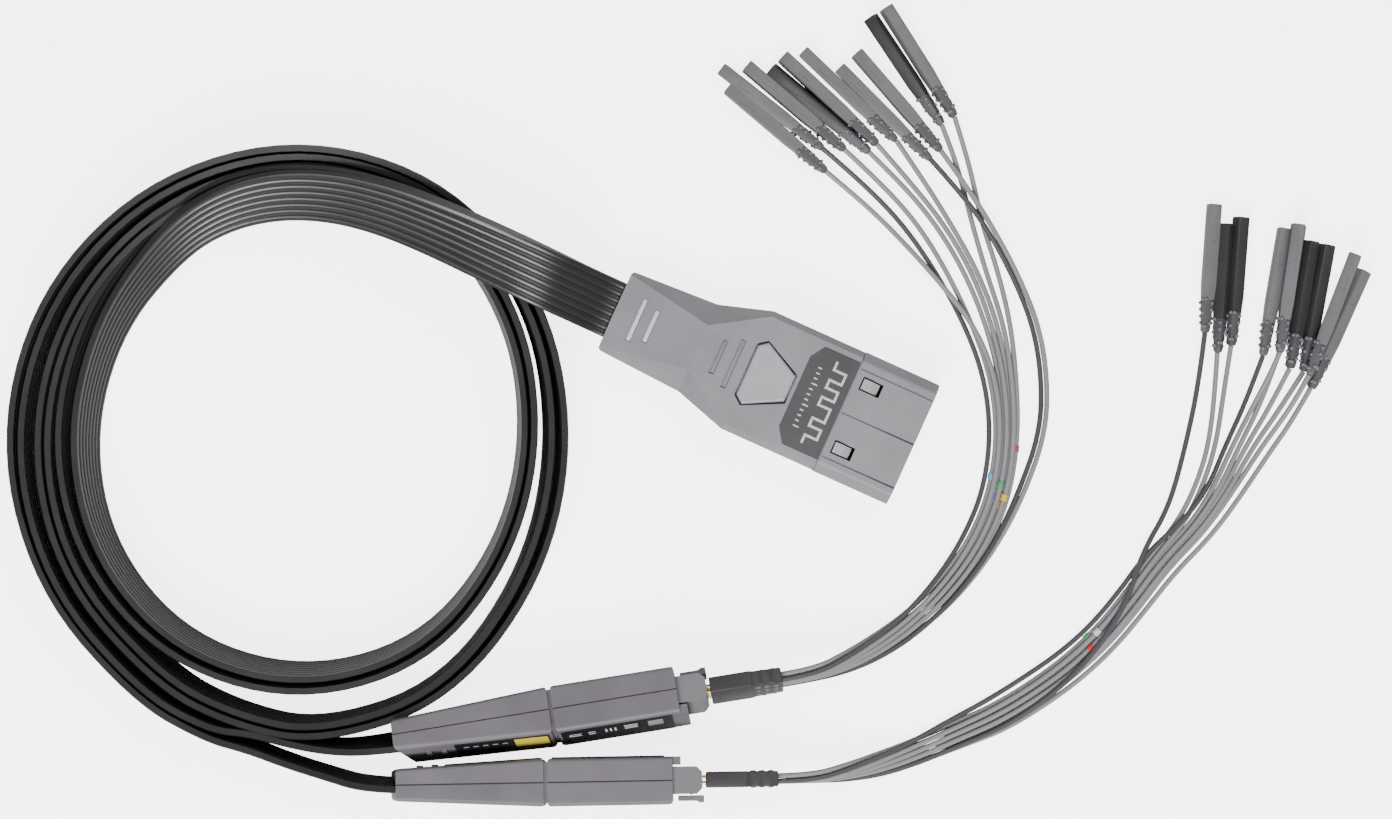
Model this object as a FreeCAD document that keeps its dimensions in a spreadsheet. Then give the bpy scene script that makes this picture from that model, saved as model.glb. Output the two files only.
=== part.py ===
import FreeCAD, Part
import math
import os
import Sketcher

# Logic analyzer probe set: a scope connector head, two flat ribbon cables wound into a loose coil,
# two pods that stand on edge, and from each pod a plug with ten thin leads that end in pin sockets.
# Millimetres. The origin is the middle of the head's base, +X right, +Y back, +Z up.

V = FreeCAD.Vector
DOC = FreeCAD.newDocument("logic_probe")
SHEET = DOC.addObject("Spreadsheet::Sheet", "Sizes")

SIZES = [
    # the head
    ("head_length", 77.8, "boot end to mouth"),
    ("head_turn", -24.3, "degrees, the way the head points"),
    ("head_height", 13.0, "base to the main top face"),
    ("boot_height", 9.6, "base to the top at the cable end"),
    ("split_height", 5.5, "parting plane of the two shells"),
    ("wall", 1.5, "shell wall"),
    ("boot_half", 10.2, "half width at the cable end"),
    ("boot_face", 9.3, "half width of the top face there"),
    ("boot_side", 8.6, "height of the side there"),
    ("waist_at", 21.7, "crease between boot and body"),
    ("waist_half", 11.4, ""),
    ("waist_face", 5.8, ""),
    ("waist_side", 6.6, ""),
    ("flare_at", 34.5, "where the body is at full width"),
    ("body_half", 15.3, ""),
    ("body_face", 13.8, ""),
    ("body_side", 10.8, ""),
    ("shell_end", 58.3, "where the connector housing starts"),
    ("base_bevel", 1.0, "bevel along the base"),
    ("mouth_width", 15.0, "cable mouth in the boot"),
    ("mouth_low", 3.9, ""),
    ("mouth_high", 8.5, ""),
    ("run_height", 6.0, "middle of the two ribbons in the head"),
    ("slot_width", 1.2, "raised marks' grooves"),
    ("slot_depth", 0.4, ""),
    ("label_recess", 0.3, "depth of the label's seat"),
    ("label_start", 46.7, ""),
    ("label_half", 12.6, ""),
    ("button_front", 34.4, ""),
    ("button_back", 45.5, ""),
    ("button_half", 8.0, ""),
    ("button_rise", 0.6, "how far the button stands proud"),
    ("button_flange", 0.9, "flange width under the roof"),
    ("gap", 0.35, "running gap round moving pieces"),
    ("pivot_at", 26.0, "latch lever's pin"),
    ("pivot_height", 9.1, ""),
    ("pin_radius", 0.8, ""),
    ("eye_radius", 1.55, ""),
    ("lever_thick", 1.2, ""),
    ("lever_half", 2.4, "half width of the lever's stem"),
    ("hook_at", 62.9, "middle of the latch windows"),
    ("hook_inset", 7.1, "middle of each hook, in from the body's side"),
    ("window_length", 5.2, ""),
    ("window_width", 3.3, ""),
    ("hook_length", 4.1, ""),
    ("hook_width", 2.6, ""),
    ("hook_rise", 0.6, ""),
    ("post_radius", 2.3, "screw posts"),
    ("front_post", 18.0, ""),
    ("front_post_side", 4.5, ""),
    ("rear_post", 51.0, ""),
    ("rear_post_side", 11.0, ""),
    ("screw_radius", 1.0, ""),
    ("screw_head", 1.9, ""),
    ("board_thick", 1.2, "circuit boards"),
    ("board_low", 3.2, ""),
    ("board_half", 8.4, ""),
    ("board_front", 28.6, ""),
    ("board_back", 60.0, ""),
    # the connector housing
    ("housing_height", 12.7, ""),
    ("housing_half", 15.5, ""),
    ("housing_bevel", 2.4, ""),
    ("spigot", 3.2, "the part that sits inside the shells"),
    ("insert_back", 66.5, ""),
    ("insert_half", 11.4, ""),
    ("insert_low", 2.1, ""),
    ("insert_high", 5.9, ""),
    ("contact_pitch", 1.27, ""),
    ("contact_side", 0.5, ""),
    ("contact_reach", 3.0, ""),
    # ribbon cables
    ("ribbon_width", 14.0, ""),
    ("ribbon_thick", 1.75, ""),
    # pods
    ("pod_length", 67.8, ""),
    ("pod_wide", 16.5, "height of a pod that stands on edge"),
    ("pod_thick", 11.3, ""),
    ("pod_tail", 7.4, "thickness at the cable end"),
    ("pod_groove_at", 37.4, ""),
    ("pod_groove", 0.9, ""),
    ("pod_slant", 2.6, "the cable end leans by this much"),
    ("pod_wall", 1.4, ""),
    ("pod_nest", 0.88, "how far the tapered cable ends nest"),
    ("pod_lip", 1.9, ""),
    ("seam_width", 0.36, "groove along the parting plane"),
    ("seam_depth", 0.4, ""),
    ("label_thick", 0.3, ""),
    ("header_length", 5.0, ""),
    ("pod_pin_side", 0.6, ""),
    ("pod_pin_length", 4.6, ""),
    # plugs and boots
    ("plug_thick", 6.5, ""),
    ("plug_wide", 14.0, ""),
    ("plug_inside", 6.0, "how far a plug goes into its pod"),
    ("plug_outside", 7.0, ""),
    ("plug_gap", 1.5, "where the crimps show"),
    ("boot_length", 16.5, ""),
    ("boot_wide", 13.0, ""),
    ("boot_thick", 3.8, ""),
    ("latch_gap", 0.35, ""),
    ("latch_thick", 1.3, ""),
    # leads and sockets
    ("lead_diameter", 1.2, ""),
    ("lead_pitch", 1.32, ""),
    ("socket_side", 3.1, ""),
    ("socket_body", 24.0, ""),
    ("relief_length", 7.0, ""),
    ("relief_end", 1.9, ""),
    ("socket_bore", 0.85, "radius"),
    ("contact_bore", 0.45, "radius"),
    ("contact_length", 8.0, ""),
]
for row, (name, value, note) in enumerate(SIZES, start=1):
    SHEET.set(f"A{row}", name)
    SHEET.set(f"B{row}", str(value))
    SHEET.setAlias(f"B{row}", name)
    SHEET.set(f"C{row}", note)
DOC.recompute()


def size(name):
    """The number that the sheet holds under a name."""
    return float(SHEET.get(name))


def bind(obj, prop, text):
    """Bind a property to a formula of the sheet's names, which are written with a leading $."""
    obj.setExpression(prop, text.replace("$", "Sizes."))


# ---------------------------------------------------------------- bodies and sketches


def body(label):
    made = DOC.addObject("PartDesign::Body", label)
    made.Label = label
    return made


def sketch(owner, role, offset="0"):
    made = owner.newObject("Sketcher::SketchObject", owner.Name + "_sketch")
    plane = [o for o in owner.Origin.OriginFeatures if o.Role == role][0]
    made.AttachmentSupport = (plane, [""])
    made.MapMode = "FlatFace"
    bind(made, "AttachmentOffset.Base.z", offset)
    return made


def pin_down(made, geometry, point, across, up):
    """Hold a sketch point at (across, up), each a formula."""
    for kind, text in (("DistanceX", across), ("DistanceY", up)):
        held = made.addConstraint(Sketcher.Constraint(kind, -1, 1, geometry, point, 1.0))
        bind(made, f"Constraints[{held}]", text)


def outline(owner, role, offset, corners):
    """A closed outline of straight edges; each corner is a pair of formulas."""
    made = sketch(owner, role, offset)
    count = len(corners)
    ring = [V(math.cos(2 * math.pi * i / count), math.sin(2 * math.pi * i / count), 0)
            for i in range(count)]
    for i in range(count):
        made.addGeometry(Part.LineSegment(ring[i], ring[(i + 1) % count]))
    for i in range(count):
        made.addConstraint(Sketcher.Constraint("Coincident", i, 2, (i + 1) % count, 1))
    for i, (across, up) in enumerate(corners):
        pin_down(made, i, 1, across, up)
    return made


def rectangle(owner, role, offset, low_x, low_y, high_x, high_y):
    corners = [(low_x, low_y), (high_x, low_y), (high_x, high_y), (low_x, high_y)]
    return outline(owner, role, offset, corners)


def rings(owner, role, offset, centres, radius):
    """Circles of one radius at several centres, in one sketch."""
    made = sketch(owner, role, offset)
    for i, (across, up) in enumerate(centres):
        made.addGeometry(Part.Circle(V(i * 3.0, 0, 0), V(0, 0, 1), 1.0))
        pin_down(made, i, 3, across, up)
        held = made.addConstraint(Sketcher.Constraint("Radius", i, 1.0))
        bind(made, f"Constraints[{held}]", radius)
    return made


def pad(owner, profile, length, both_ways=False, back=False):
    made = owner.newObject("PartDesign::Pad", owner.Name + "_pad")
    made.Profile = profile
    made.SideType = "Symmetric" if both_ways else "One side"
    made.Reversed = back
    bind(made, "Length", length)
    profile.Visibility = False
    return made


def pocket(owner, profile, length, both_ways=False, back=False):
    made = owner.newObject("PartDesign::Pocket", owner.Name + "_pocket")
    made.Profile = profile
    made.SideType = "Symmetric" if both_ways else "One side"
    made.Reversed = back
    bind(made, "Length", length)
    return made


def loft(owner, sections, cut=False):
    kind = "PartDesign::SubtractiveLoft" if cut else "PartDesign::AdditiveLoft"
    made = owner.newObject(kind, owner.Name + "_loft")
    made.Profile = sections[0]
    made.Sections = sections[1:]
    made.Ruled = True
    return made


NODES = {}


def keep(obj, placement=None):
    """Put a finished sub-part in its place; its label is its node's name."""
    if placement is not None:
        obj.Placement = placement
    NODES[obj.Label] = obj
    return obj


def shape_node(label, shape, placement=None):
    made = DOC.addObject("Part::Feature", label)
    made.Label = label
    made.Shape = shape
    return keep(made, placement or FreeCAD.Placement())


def box_at(low, high):
    low, high = V(*low), V(*high)
    span = high - low
    return Part.makeBox(span.x, span.y, span.z, low)


# ---------------------------------------------------------------- the head, from its cable end along +X

turn = FreeCAD.Rotation(V(0, 0, 1), size("head_turn"))
HEAD = FreeCAD.Placement(turn.multVec(V(-size("head_length") / 2, 0, 0)), turn)

STATIONS = [  # where, half width, half width of the top face, top height, side height
    ("0", "$boot_half", "$boot_face", "$boot_height", "$boot_side"),
    ("$waist_at", "$waist_half", "$waist_face", "$head_height", "$waist_side"),
    ("$flare_at", "$body_half", "$body_face", "$head_height", "$body_side"),
    ("$shell_end", "$body_half", "$body_face", "$head_height", "$body_side"),
]


def roof_section(owner, station, inset):
    """Section of the upper shell, or of its hollow when inset is the wall."""
    where, half, face, top, side = station
    corners = [
        (f"-({half}-{inset})", "$split_height"), (f"{half}-{inset}", "$split_height"),
        (f"{half}-{inset}", f"{side}-{inset}/2"), (f"{face}-{inset}*0.9", f"{top}-{inset}"),
        (f"-({face}-{inset}*0.9)", f"{top}-{inset}"), (f"-({half}-{inset})", f"{side}-{inset}/2"),
    ]
    return outline(owner, "YZ_Plane", where, corners)


def floor_section(owner, station):
    where, half = station[0], station[1]
    corners = [
        (f"-({half}-$base_bevel)", "0"), (f"{half}-$base_bevel", "0"), (half, "$base_bevel"),
        (half, "$split_height"), (f"-{half}", "$split_height"), (f"-{half}", "$base_bevel"),
    ]
    return outline(owner, "YZ_Plane", where, corners)


def trough_section(owner, station):
    where, half = station[0], station[1]
    return rectangle(owner, "YZ_Plane", where, f"-({half}-$wall)", "$wall",
                     f"{half}-$wall", "$split_height+0.01")


FRONT_POSTS = [("$front_post", "$front_post_side"), ("$front_post", "-$front_post_side")]
REAR_POSTS = [("$rear_post", "$rear_post_side"), ("$rear_post", "-$rear_post_side")]
BUTTON_CORNERS = [  # along, across, as formulas without the growth
    ("$button_front", -1, "($button_half-1.7)"), ("$button_front+2.1", -1, "$button_half"),
    ("$button_back", -1, "($button_half-4.7)"), ("$button_back", 1, "($button_half-4.7)"),
    ("$button_front+2.1", 1, "$button_half"), ("$button_front", 1, "($button_half-1.7)"),
]


def button_outline(owner, offset, growth):
    """The button's six-sided outline, grown sideways and lengthways by a formula."""
    corners = []
    for along, side, across in BUTTON_CORNERS:
        reach = f"+({growth})" if along == "$button_back" else f"-({growth})"
        if along == "$button_front+2.1":
            reach = f"-({growth})/2"
        corners.append((along + reach, f"{side}*({across}+({growth}))"))
    return outline(owner, "XY_Plane", offset, corners)


def head_top_shell():
    owner = body("head_top_shell")
    loft(owner, [roof_section(owner, s, "0") for s in STATIONS])
    inner = [("$wall",) + STATIONS[0][1:]] + STATIONS[1:3] + [("$shell_end+1",) + STATIONS[3][1:]]
    loft(owner, [roof_section(owner, s, "$wall") for s in inner], cut=True)
    pad(owner, rings(owner, "XY_Plane", "$split_height", FRONT_POSTS, "$post_radius*0.74"),
        "$boot_height+1.6-$split_height")
    pad(owner, rings(owner, "XY_Plane", "$split_height", REAR_POSTS, "$post_radius"),
        "$head_height-$wall+0.3-$split_height")
    pocket(owner, rings(owner, "XY_Plane", "$split_height", FRONT_POSTS + REAR_POSTS, "$screw_radius"),
           "4", back=True)
    mouth = rectangle(owner, "YZ_Plane", "0", "-$mouth_width/2", "$split_height-1",
                      "$mouth_width/2", "$mouth_high")
    pocket(owner, mouth, "$wall+1", back=True)
    pocket(owner, button_outline(owner, "$head_height", "$gap"), "$wall+0.2")
    seat = outline(owner, "XY_Plane", "$head_height", [
        ("$label_start", "-($label_half-3.6)"), ("$label_start+2.4", "-$label_half"),
        ("$shell_end+1", "-$label_half"), ("$shell_end+1", "$label_half"),
        ("$label_start+2.4", "$label_half"), ("$label_start", "$label_half-3.6")])
    pocket(owner, seat, "$label_recess")
    for along, half, top in (("26.9", "4.3", "$head_height"), ("30.8", "6.2", "$head_height")):
        mark = rectangle(owner, "XY_Plane", top, f"{along}-$slot_width/2", f"-{half}",
                         f"{along}+$slot_width/2", half)
        pocket(owner, mark, "$slot_depth")
    for along, half in (("5.7", "5.4"), ("9.4", "4.1")):
        drop = f"(1-{along}/$waist_at)*($head_height-$boot_height)+$slot_depth"
        mark = rectangle(owner, "XY_Plane", "$head_height", f"{along}-$slot_width/2", f"-{half}",
                         f"{along}+$slot_width/2", half)
        pocket(owner, mark, drop)
    keep(owner, HEAD)


def head_bottom_shell():
    owner = body("head_bottom_shell")
    loft(owner, [floor_section(owner, s) for s in STATIONS])
    inner = [("$wall",) + STATIONS[0][1:]] + STATIONS[1:3] + [("$shell_end+1",) + STATIONS[3][1:]]
    loft(owner, [trough_section(owner, s) for s in inner], cut=True)
    pad(owner, rings(owner, "XY_Plane", "$wall-0.2", FRONT_POSTS + REAR_POSTS, "$post_radius"),
        "$split_height-$wall+0.2")
    ears = [rectangle(owner, "XZ_Plane", f"{side}*4.6", "$pivot_at-1.8", "$wall-0.2",
                      "$pivot_at+1.8", "$pivot_height+1.5") for side in (-1, 1)]
    for ear in ears:
        pad(owner, ear, "1.6", both_ways=True)
    bore = rings(owner, "XZ_Plane", "0", [("$pivot_at", "$pivot_height")], "$pin_radius")
    pocket(owner, bore, "12", both_ways=True)
    rests = [("$board_front+2.5", "$board_half-2"), ("$board_front+2.5", "-($board_half-2)"),
             ("$board_back-8", "$board_half-2"), ("$board_back-8", "-($board_half-2)")]
    pad(owner, rings(owner, "XY_Plane", "$wall-0.2", rests, "1.5"), "$board_low-$wall+0.2")
    pocket(owner, rings(owner, "XY_Plane", "0", FRONT_POSTS + REAR_POSTS, "$screw_radius+0.1"),
           "$split_height+1", back=True)
    pocket(owner, rings(owner, "XY_Plane", "0", FRONT_POSTS + REAR_POSTS, "$screw_head+0.1"),
           "2", back=True)
    mouth = rectangle(owner, "YZ_Plane", "0", "-$mouth_width/2", "$mouth_low",
                      "$mouth_width/2", "$split_height+1")
    pocket(owner, mouth, "$wall+1", back=True)
    keep(owner, HEAD)


def connector_housing():
    owner = body("connector_housing")
    section = outline(owner, "YZ_Plane", "$shell_end", [
        ("-($housing_half-$base_bevel)", "0"), ("$housing_half-$base_bevel", "0"),
        ("$housing_half", "$base_bevel"), ("$housing_half", "$housing_height-$housing_bevel"),
        ("$housing_half-$housing_bevel", "$housing_height"),
        ("-($housing_half-$housing_bevel)", "$housing_height"),
        ("-$housing_half", "$housing_height-$housing_bevel"), ("-$housing_half", "$base_bevel")])
    pad(owner, section, "$head_length-$shell_end")
    spigot = rectangle(owner, "YZ_Plane", "$shell_end-$spigot", "-($body_half-$wall-1.4)",
                       "$wall+0.1", "$body_half-$wall-1.4", "$housing_height-$wall-0.2")
    pad(owner, spigot, "$spigot+0.5")
    hollow = rectangle(owner, "YZ_Plane", "$shell_end-$spigot-1", "-($body_half-$wall*2-1.2)",
                       "$wall+1.1", "$body_half-$wall*2-1.2", "$housing_height-$wall-0.85")
    pocket(owner, hollow, "$spigot+3", back=True)
    cavity = rectangle(owner, "YZ_Plane", "$shell_end+1.9", "-($housing_half-$wall)", "$wall",
                       "$housing_half-$wall", "$housing_height-$wall-$housing_bevel*0.35")
    pocket(owner, cavity, "$head_length", back=True)
    for side in (-1, 1):
        window = rectangle(owner, "XY_Plane", "$housing_height", "$hook_at-$window_length/2",
                           f"{side}*($body_half-$hook_inset)-$window_width/2", "$hook_at+$window_length/2",
                           f"{side}*($body_half-$hook_inset)+$window_width/2")
        pocket(owner, window, "$wall+1.2")
    for across in ("0", "$housing_half-4.2", "-($housing_half-4.2)"):
        line = rectangle(owner, "XY_Plane", "$housing_height", "$shell_end+0.6",
                         f"{across}-0.22", "$head_length+1", f"{across}+0.22")
        pocket(owner, line, "0.3")
    keep(owner, HEAD)


def release_button():
    owner = body("release_button")
    cap = button_outline(owner, "$head_height-$wall-$gap", "0")
    pad(owner, cap, "$wall+$gap+$button_rise")
    flange = button_outline(owner, "$head_height-$wall-$gap", "$button_flange")
    pad(owner, flange, "0.8", back=True)
    keep(owner, HEAD)


def latch_lever():
    owner = body("latch_lever")
    low = "$pivot_height-$lever_thick/2"
    stem = rectangle(owner, "XY_Plane", low, "$pivot_at", "-$lever_half", "$hook_at-4.4", "$lever_half")
    pad(owner, stem, "$lever_thick")
    bar = rectangle(owner, "XY_Plane", low, "$hook_at-8.2", "-(($body_half-$hook_inset)+$hook_width/2)",
                    "$hook_at-4.2", "($body_half-$hook_inset)+$hook_width/2")
    pad(owner, bar, "$lever_thick")
    for side in (-1, 1):
        arm = rectangle(owner, "XY_Plane", low, "$hook_at-5",
                        f"{side}*($body_half-$hook_inset)-$hook_width/2",
                        "$hook_at-$window_length/2+$gap+$hook_length",
                        f"{side}*($body_half-$hook_inset)+$hook_width/2")
        pad(owner, arm, "$lever_thick")
        start = "$hook_at-$window_length/2+$gap"
        wedge = outline(owner, "XZ_Plane", f"-({side}*($body_half-$hook_inset))", [
            (start, "$pivot_height"), (f"{start}+$hook_length", "$pivot_height"),
            (f"{start}+$hook_length", "$housing_height-1"),
            (f"{start}+$hook_length*0.55", "$housing_height+$hook_rise"),
            (start, "$housing_height+$hook_rise")])
        pad(owner, wedge, "$hook_width", both_ways=True)
    eye = rings(owner, "XZ_Plane", "0", [("$pivot_at", "$pivot_height")], "$eye_radius")
    pad(owner, eye, "6.4", both_ways=True)
    bore = rings(owner, "XZ_Plane", "0", [("$pivot_at", "$pivot_height")], "$pin_radius+0.08")
    pocket(owner, bore, "8", both_ways=True)
    keep(owner, HEAD)


def latch_pin():
    owner = body("latch_pin")
    rod = rings(owner, "XZ_Plane", "0", [("$pivot_at", "$pivot_height")], "$pin_radius")
    pad(owner, rod, "10.8", both_ways=True)
    keep(owner, HEAD)


def return_spring():
    """A bent leaf between the board and the lever, under the button."""
    owner = body("return_spring")
    base, top = "$board_low+$board_thick", "$pivot_height-$lever_thick/2-0.15"
    leaf = outline(owner, "XZ_Plane", "0", [
        ("$button_front+1", base), ("$button_front+12", base),
        ("$button_front+12", f"{base}+0.3"), ("$button_front+3.2", f"{base}+0.3"),
        ("$button_front+9", f"{top}-0.3"), ("$button_front+12", f"{top}-0.3"),
        ("$button_front+12", top), ("$button_front+8.7", top),
        ("$button_front+1.6", f"{base}+0.3"), ("$button_front+1", f"{base}+0.3")])
    pad(owner, leaf, "3.2", both_ways=True)
    keep(owner, HEAD)


def head_board():
    owner = body("head_board")
    plate = rectangle(owner, "XY_Plane", "$board_low", "$board_front", "-$board_half",
                      "$board_back", "$board_half")
    pad(owner, plate, "$board_thick")
    chips = [("$board_front+2.5", "2.4"), ("$board_front+23.5", "-7.8"), ("$board_front+23.5", "2.8")]
    for along, across in chips:
        chip = rectangle(owner, "XY_Plane", "$board_low+$board_thick", along, across,
                         f"{along}+6", f"{across}+5")
        pad(owner, chip, "1.1")
    keep(owner, HEAD)


def connector_insert():
    owner = body("connector_insert")
    block = rectangle(owner, "YZ_Plane", "$board_back+0.3", "-$insert_half", "$insert_low",
                      "$insert_half", "$insert_high")
    pad(owner, block, "$insert_back-$board_back-0.3")
    keep(owner, HEAD)


def connector_contacts():
    half, pitch = size("contact_side") / 2, size("contact_pitch")
    start = size("insert_back")
    middle = (size("insert_low") + size("insert_high")) / 2
    blades = []
    for row in (-1, 1):
        for place in range(17):
            across = (place - 8) * pitch
            up = middle + row * pitch / 2
            blades.append(box_at((start, across - half, up - half),
                                 (start + size("contact_reach"), across + half, up + half)))
    shape_node("connector_contacts", Part.makeCompound(blades), HEAD)


def cable_clamp():
    owner = body("cable_clamp")
    block = rectangle(owner, "XY_Plane", "$wall", "6.4", "-7.4", "11.4", "7.4")
    pad(owner, block, "$mouth_high-$wall")
    channel = rectangle(owner, "YZ_Plane", "6.4", "-$ribbon_width/2", "$run_height-$ribbon_thick",
                        "$ribbon_width/2", "$run_height+$ribbon_thick")
    pocket(owner, channel, "2.4", back=True)
    keep(owner, HEAD)


def head_screws():
    solids = []
    for along, across in ((size("front_post"), size("front_post_side")),
                          (size("front_post"), -size("front_post_side")),
                          (size("rear_post"), size("rear_post_side")),
                          (size("rear_post"), -size("rear_post_side"))):
        cap = Part.makeCylinder(size("screw_head"), 1.4, V(along, across, 0.6))
        cross = box_at((along - 1.1, across - 0.25, 0.5), (along + 1.1, across + 0.25, 1.2))
        cross = cross.fuse(box_at((along - 0.25, across - 1.1, 0.5), (along + 0.25, across + 1.1, 1.2)))
        shank = Part.makeCylinder(size("screw_radius"), 7.4, V(along, across, 2.0))
        solids.append(cap.cut(cross).fuse(shank).removeSplitter())
    shape_node("head_screws", Part.makeCompound(solids), HEAD)


def head_label():
    owner = body("head_label")
    plate = outline(owner, "XY_Plane", "$head_height-$label_recess", [
        ("$label_start+0.1", "-($label_half-3.7)"), ("$label_start+2.45", "-($label_half-0.1)"),
        ("$shell_end", "-($label_half-0.1)"), ("$shell_end", "$label_half-0.1"),
        ("$label_start+2.45", "$label_half-0.1"), ("$label_start+0.1", "$label_half-3.7")])
    pad(owner, plate, "$label_recess-0.05")
    keep(owner, HEAD)


# ---------------------------------------------------------------- pods, from the cable end along local +X

# cable end's middle, heading, lean; pod b lies the other way up, and pod a beside it
POD_B_SPOT = (V(-89.50, -97.05, 8.84), 1.0, 173.5)
POD_A_SPOT = (V(-87.37, POD_B_SPOT[0].y + size("pod_thick") - size("pod_nest"), 9.6), 9.2, -18.0)


def pod_placement(spot):
    middle, heading, lean = spot
    heading = FreeCAD.Rotation(V(0, 0, 1), heading)
    return FreeCAD.Placement(middle, heading.multiply(FreeCAD.Rotation(V(1, 0, 0), lean)))


POD_PLACES = {"a": pod_placement(POD_A_SPOT), "b": pod_placement(POD_B_SPOT)}


def pod_skin(along):
    """Half thickness of a pod at a distance from its cable end, up to the groove."""
    return f"($pod_tail/2+($pod_thick-$pod_tail)/2*({along})/$pod_groove_at)"


def pod_shell(tag, side, name):
    """Half of a pod's case; side is -1 for the label half and 1 for the plain half."""
    owner = body(f"pod_{tag}_{name}")
    half = f"{side}*$pod_thick/2"
    plan = outline(owner, "XY_Plane", "0", [
        ("0", "0"), ("0", f"{side}*$pod_tail/2"), ("$pod_groove_at", half),
        ("$pod_length", half), ("$pod_length", "0")])
    pad(owner, plan, "$pod_wide", both_ways=True)
    inner = f"{side}*($pod_thick/2-$pod_wall)"
    hollow = outline(owner, "XY_Plane", "0", [
        ("$pod_slant+$pod_wall", f"-{side}"), ("$pod_slant+$pod_wall", f"{side}*($pod_tail/2-$pod_wall)"),
        ("$pod_groove_at", inner), ("$pod_length-$pod_wall", inner),
        ("$pod_length-$pod_wall", f"-{side}")])
    pocket(owner, hollow, "$pod_wide-2*$pod_wall", both_ways=True)
    slant = outline(owner, "XZ_Plane", "0", [
        ("-1", "-$pod_wide/2-1"), ("$pod_slant", "-$pod_wide/2-1"), ("$pod_slant", "-$pod_wide/2"),
        ("0", "$pod_wide/2"), ("-1", "$pod_wide/2")])
    pocket(owner, slant, "$pod_thick*2", both_ways=True)
    slot = rectangle(owner, "XZ_Plane", "0", "-1", "-$ribbon_width/2-0.1",
                     "$pod_slant+$pod_wall+1", "$ribbon_width/2+0.1")
    pocket(owner, slot, "$ribbon_thick+0.1", both_ways=True)
    mouth = rectangle(owner, "XZ_Plane", "0", "$pod_length-$plug_inside-0.5", "-$plug_wide/2-$gap",
                      "$pod_length+1", "$plug_wide/2+$gap")
    pocket(owner, mouth, "$plug_thick+2*$gap", both_ways=True)
    groove_end = "$pod_groove_at+$pod_groove"
    ring = rectangle(owner, "XY_Plane", "0", "$pod_groove_at", f"{side}*($pod_thick/2-0.8)",
                     groove_end, f"{side}*($pod_thick/2+1)")
    pocket(owner, ring, "$pod_wide*2", both_ways=True)
    for up in (-1, 1):
        edge = rectangle(owner, "XZ_Plane", "0", "$pod_groove_at", f"{up}*($pod_wide/2-0.8)",
                         groove_end, f"{up}*($pod_wide/2+1)")
        pocket(owner, edge, "$pod_thick*2", both_ways=True)
    for up in (-1, 1):
        seam = rectangle(owner, "XZ_Plane", "0", "-1", f"{up}*($pod_wide/2-$seam_depth)",
                         "$pod_length+1", f"{up}*($pod_wide/2+1)")
        pocket(owner, seam, "$seam_width", both_ways=True)
    if side < 0:
        for along in ("7.6", "11.2"):
            mark = rectangle(owner, "XY_Plane", "0", f"{along}-0.6", f"-{pod_skin(along)}-0.45",
                             f"{along}+0.6", f"-{pod_skin(along)}+0.4")
            pad(owner, mark, "5", both_ways=True)
        lip = rectangle(owner, "XY_Plane", "0", "$pod_length-0.5", "-$pod_thick/2",
                        "$pod_length+$pod_lip", "-$pod_thick/2+1.9")
        pad(owner, lip, "$pod_wide-2", both_ways=True)
    keep(owner, POD_PLACES[tag])


def pod_label(tag):
    """The printed plate on the label face, in two lengths, one each side of the groove."""
    owner = body(f"pod_{tag}_label")
    owner.AllowCompound = True
    back, front = "14", "($pod_groove_at-1)"
    rear = outline(owner, "XY_Plane", "0", [
        (back, f"-{pod_skin(back)}"), (front, f"-{pod_skin(front)}"),
        (front, f"-{pod_skin(front)}-$label_thick"), (back, f"-{pod_skin(back)}-$label_thick")])
    pad(owner, rear, "$pod_wide-3.4", both_ways=True)
    ahead = rectangle(owner, "XY_Plane", "0", "$pod_groove_at+$pod_groove+1",
                      "-$pod_thick/2-$label_thick", "$pod_length-2", "-$pod_thick/2")
    pad(owner, ahead, "$pod_wide-3.4", both_ways=True)
    keep(owner, POD_PLACES[tag])


def pod_board(tag):
    owner = body(f"pod_{tag}_board")
    plate = rectangle(owner, "XZ_Plane", "0", "8", "-$pod_wide/2+$pod_wall",
                      "$pod_length-$plug_inside-$header_length-0.8", "$pod_wide/2-$pod_wall")
    pad(owner, plate, "$board_thick", both_ways=True)
    for along in ("18", "30"):
        chip = rectangle(owner, "XZ_Plane", "$board_thick/2", along, "-3.5", f"{along}+7", "3.5")
        pad(owner, chip, "1.1")
    keep(owner, POD_PLACES[tag])


def pod_header(tag):
    owner = body(f"pod_{tag}_header")
    end = "$pod_length-$plug_inside-0.8"
    block = rectangle(owner, "XZ_Plane", "0", f"{end}-$header_length", "-$pod_wide/2+$pod_wall",
                      end, "$pod_wide/2-$pod_wall")
    pad(owner, block, "5.2", both_ways=True)
    keep(owner, POD_PLACES[tag])


def pod_pins():
    half = size("pod_pin_side") / 2
    start = size("pod_length") - size("plug_inside") - 0.8
    pins = []
    for tag in ("a", "b"):
        for row in (-1, 1):
            for place in range(8):
                up = (place - 3.5) * 1.5
                pin = box_at((start, row * 0.75 - half, up - half),
                             (start + size("pod_pin_length"), row * 0.75 + half, up + half))
                pins.append(pin.transformGeometry(POD_PLACES[tag].toMatrix()))
    shape_node("pod_pins", Part.makeCompound(pins))


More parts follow.
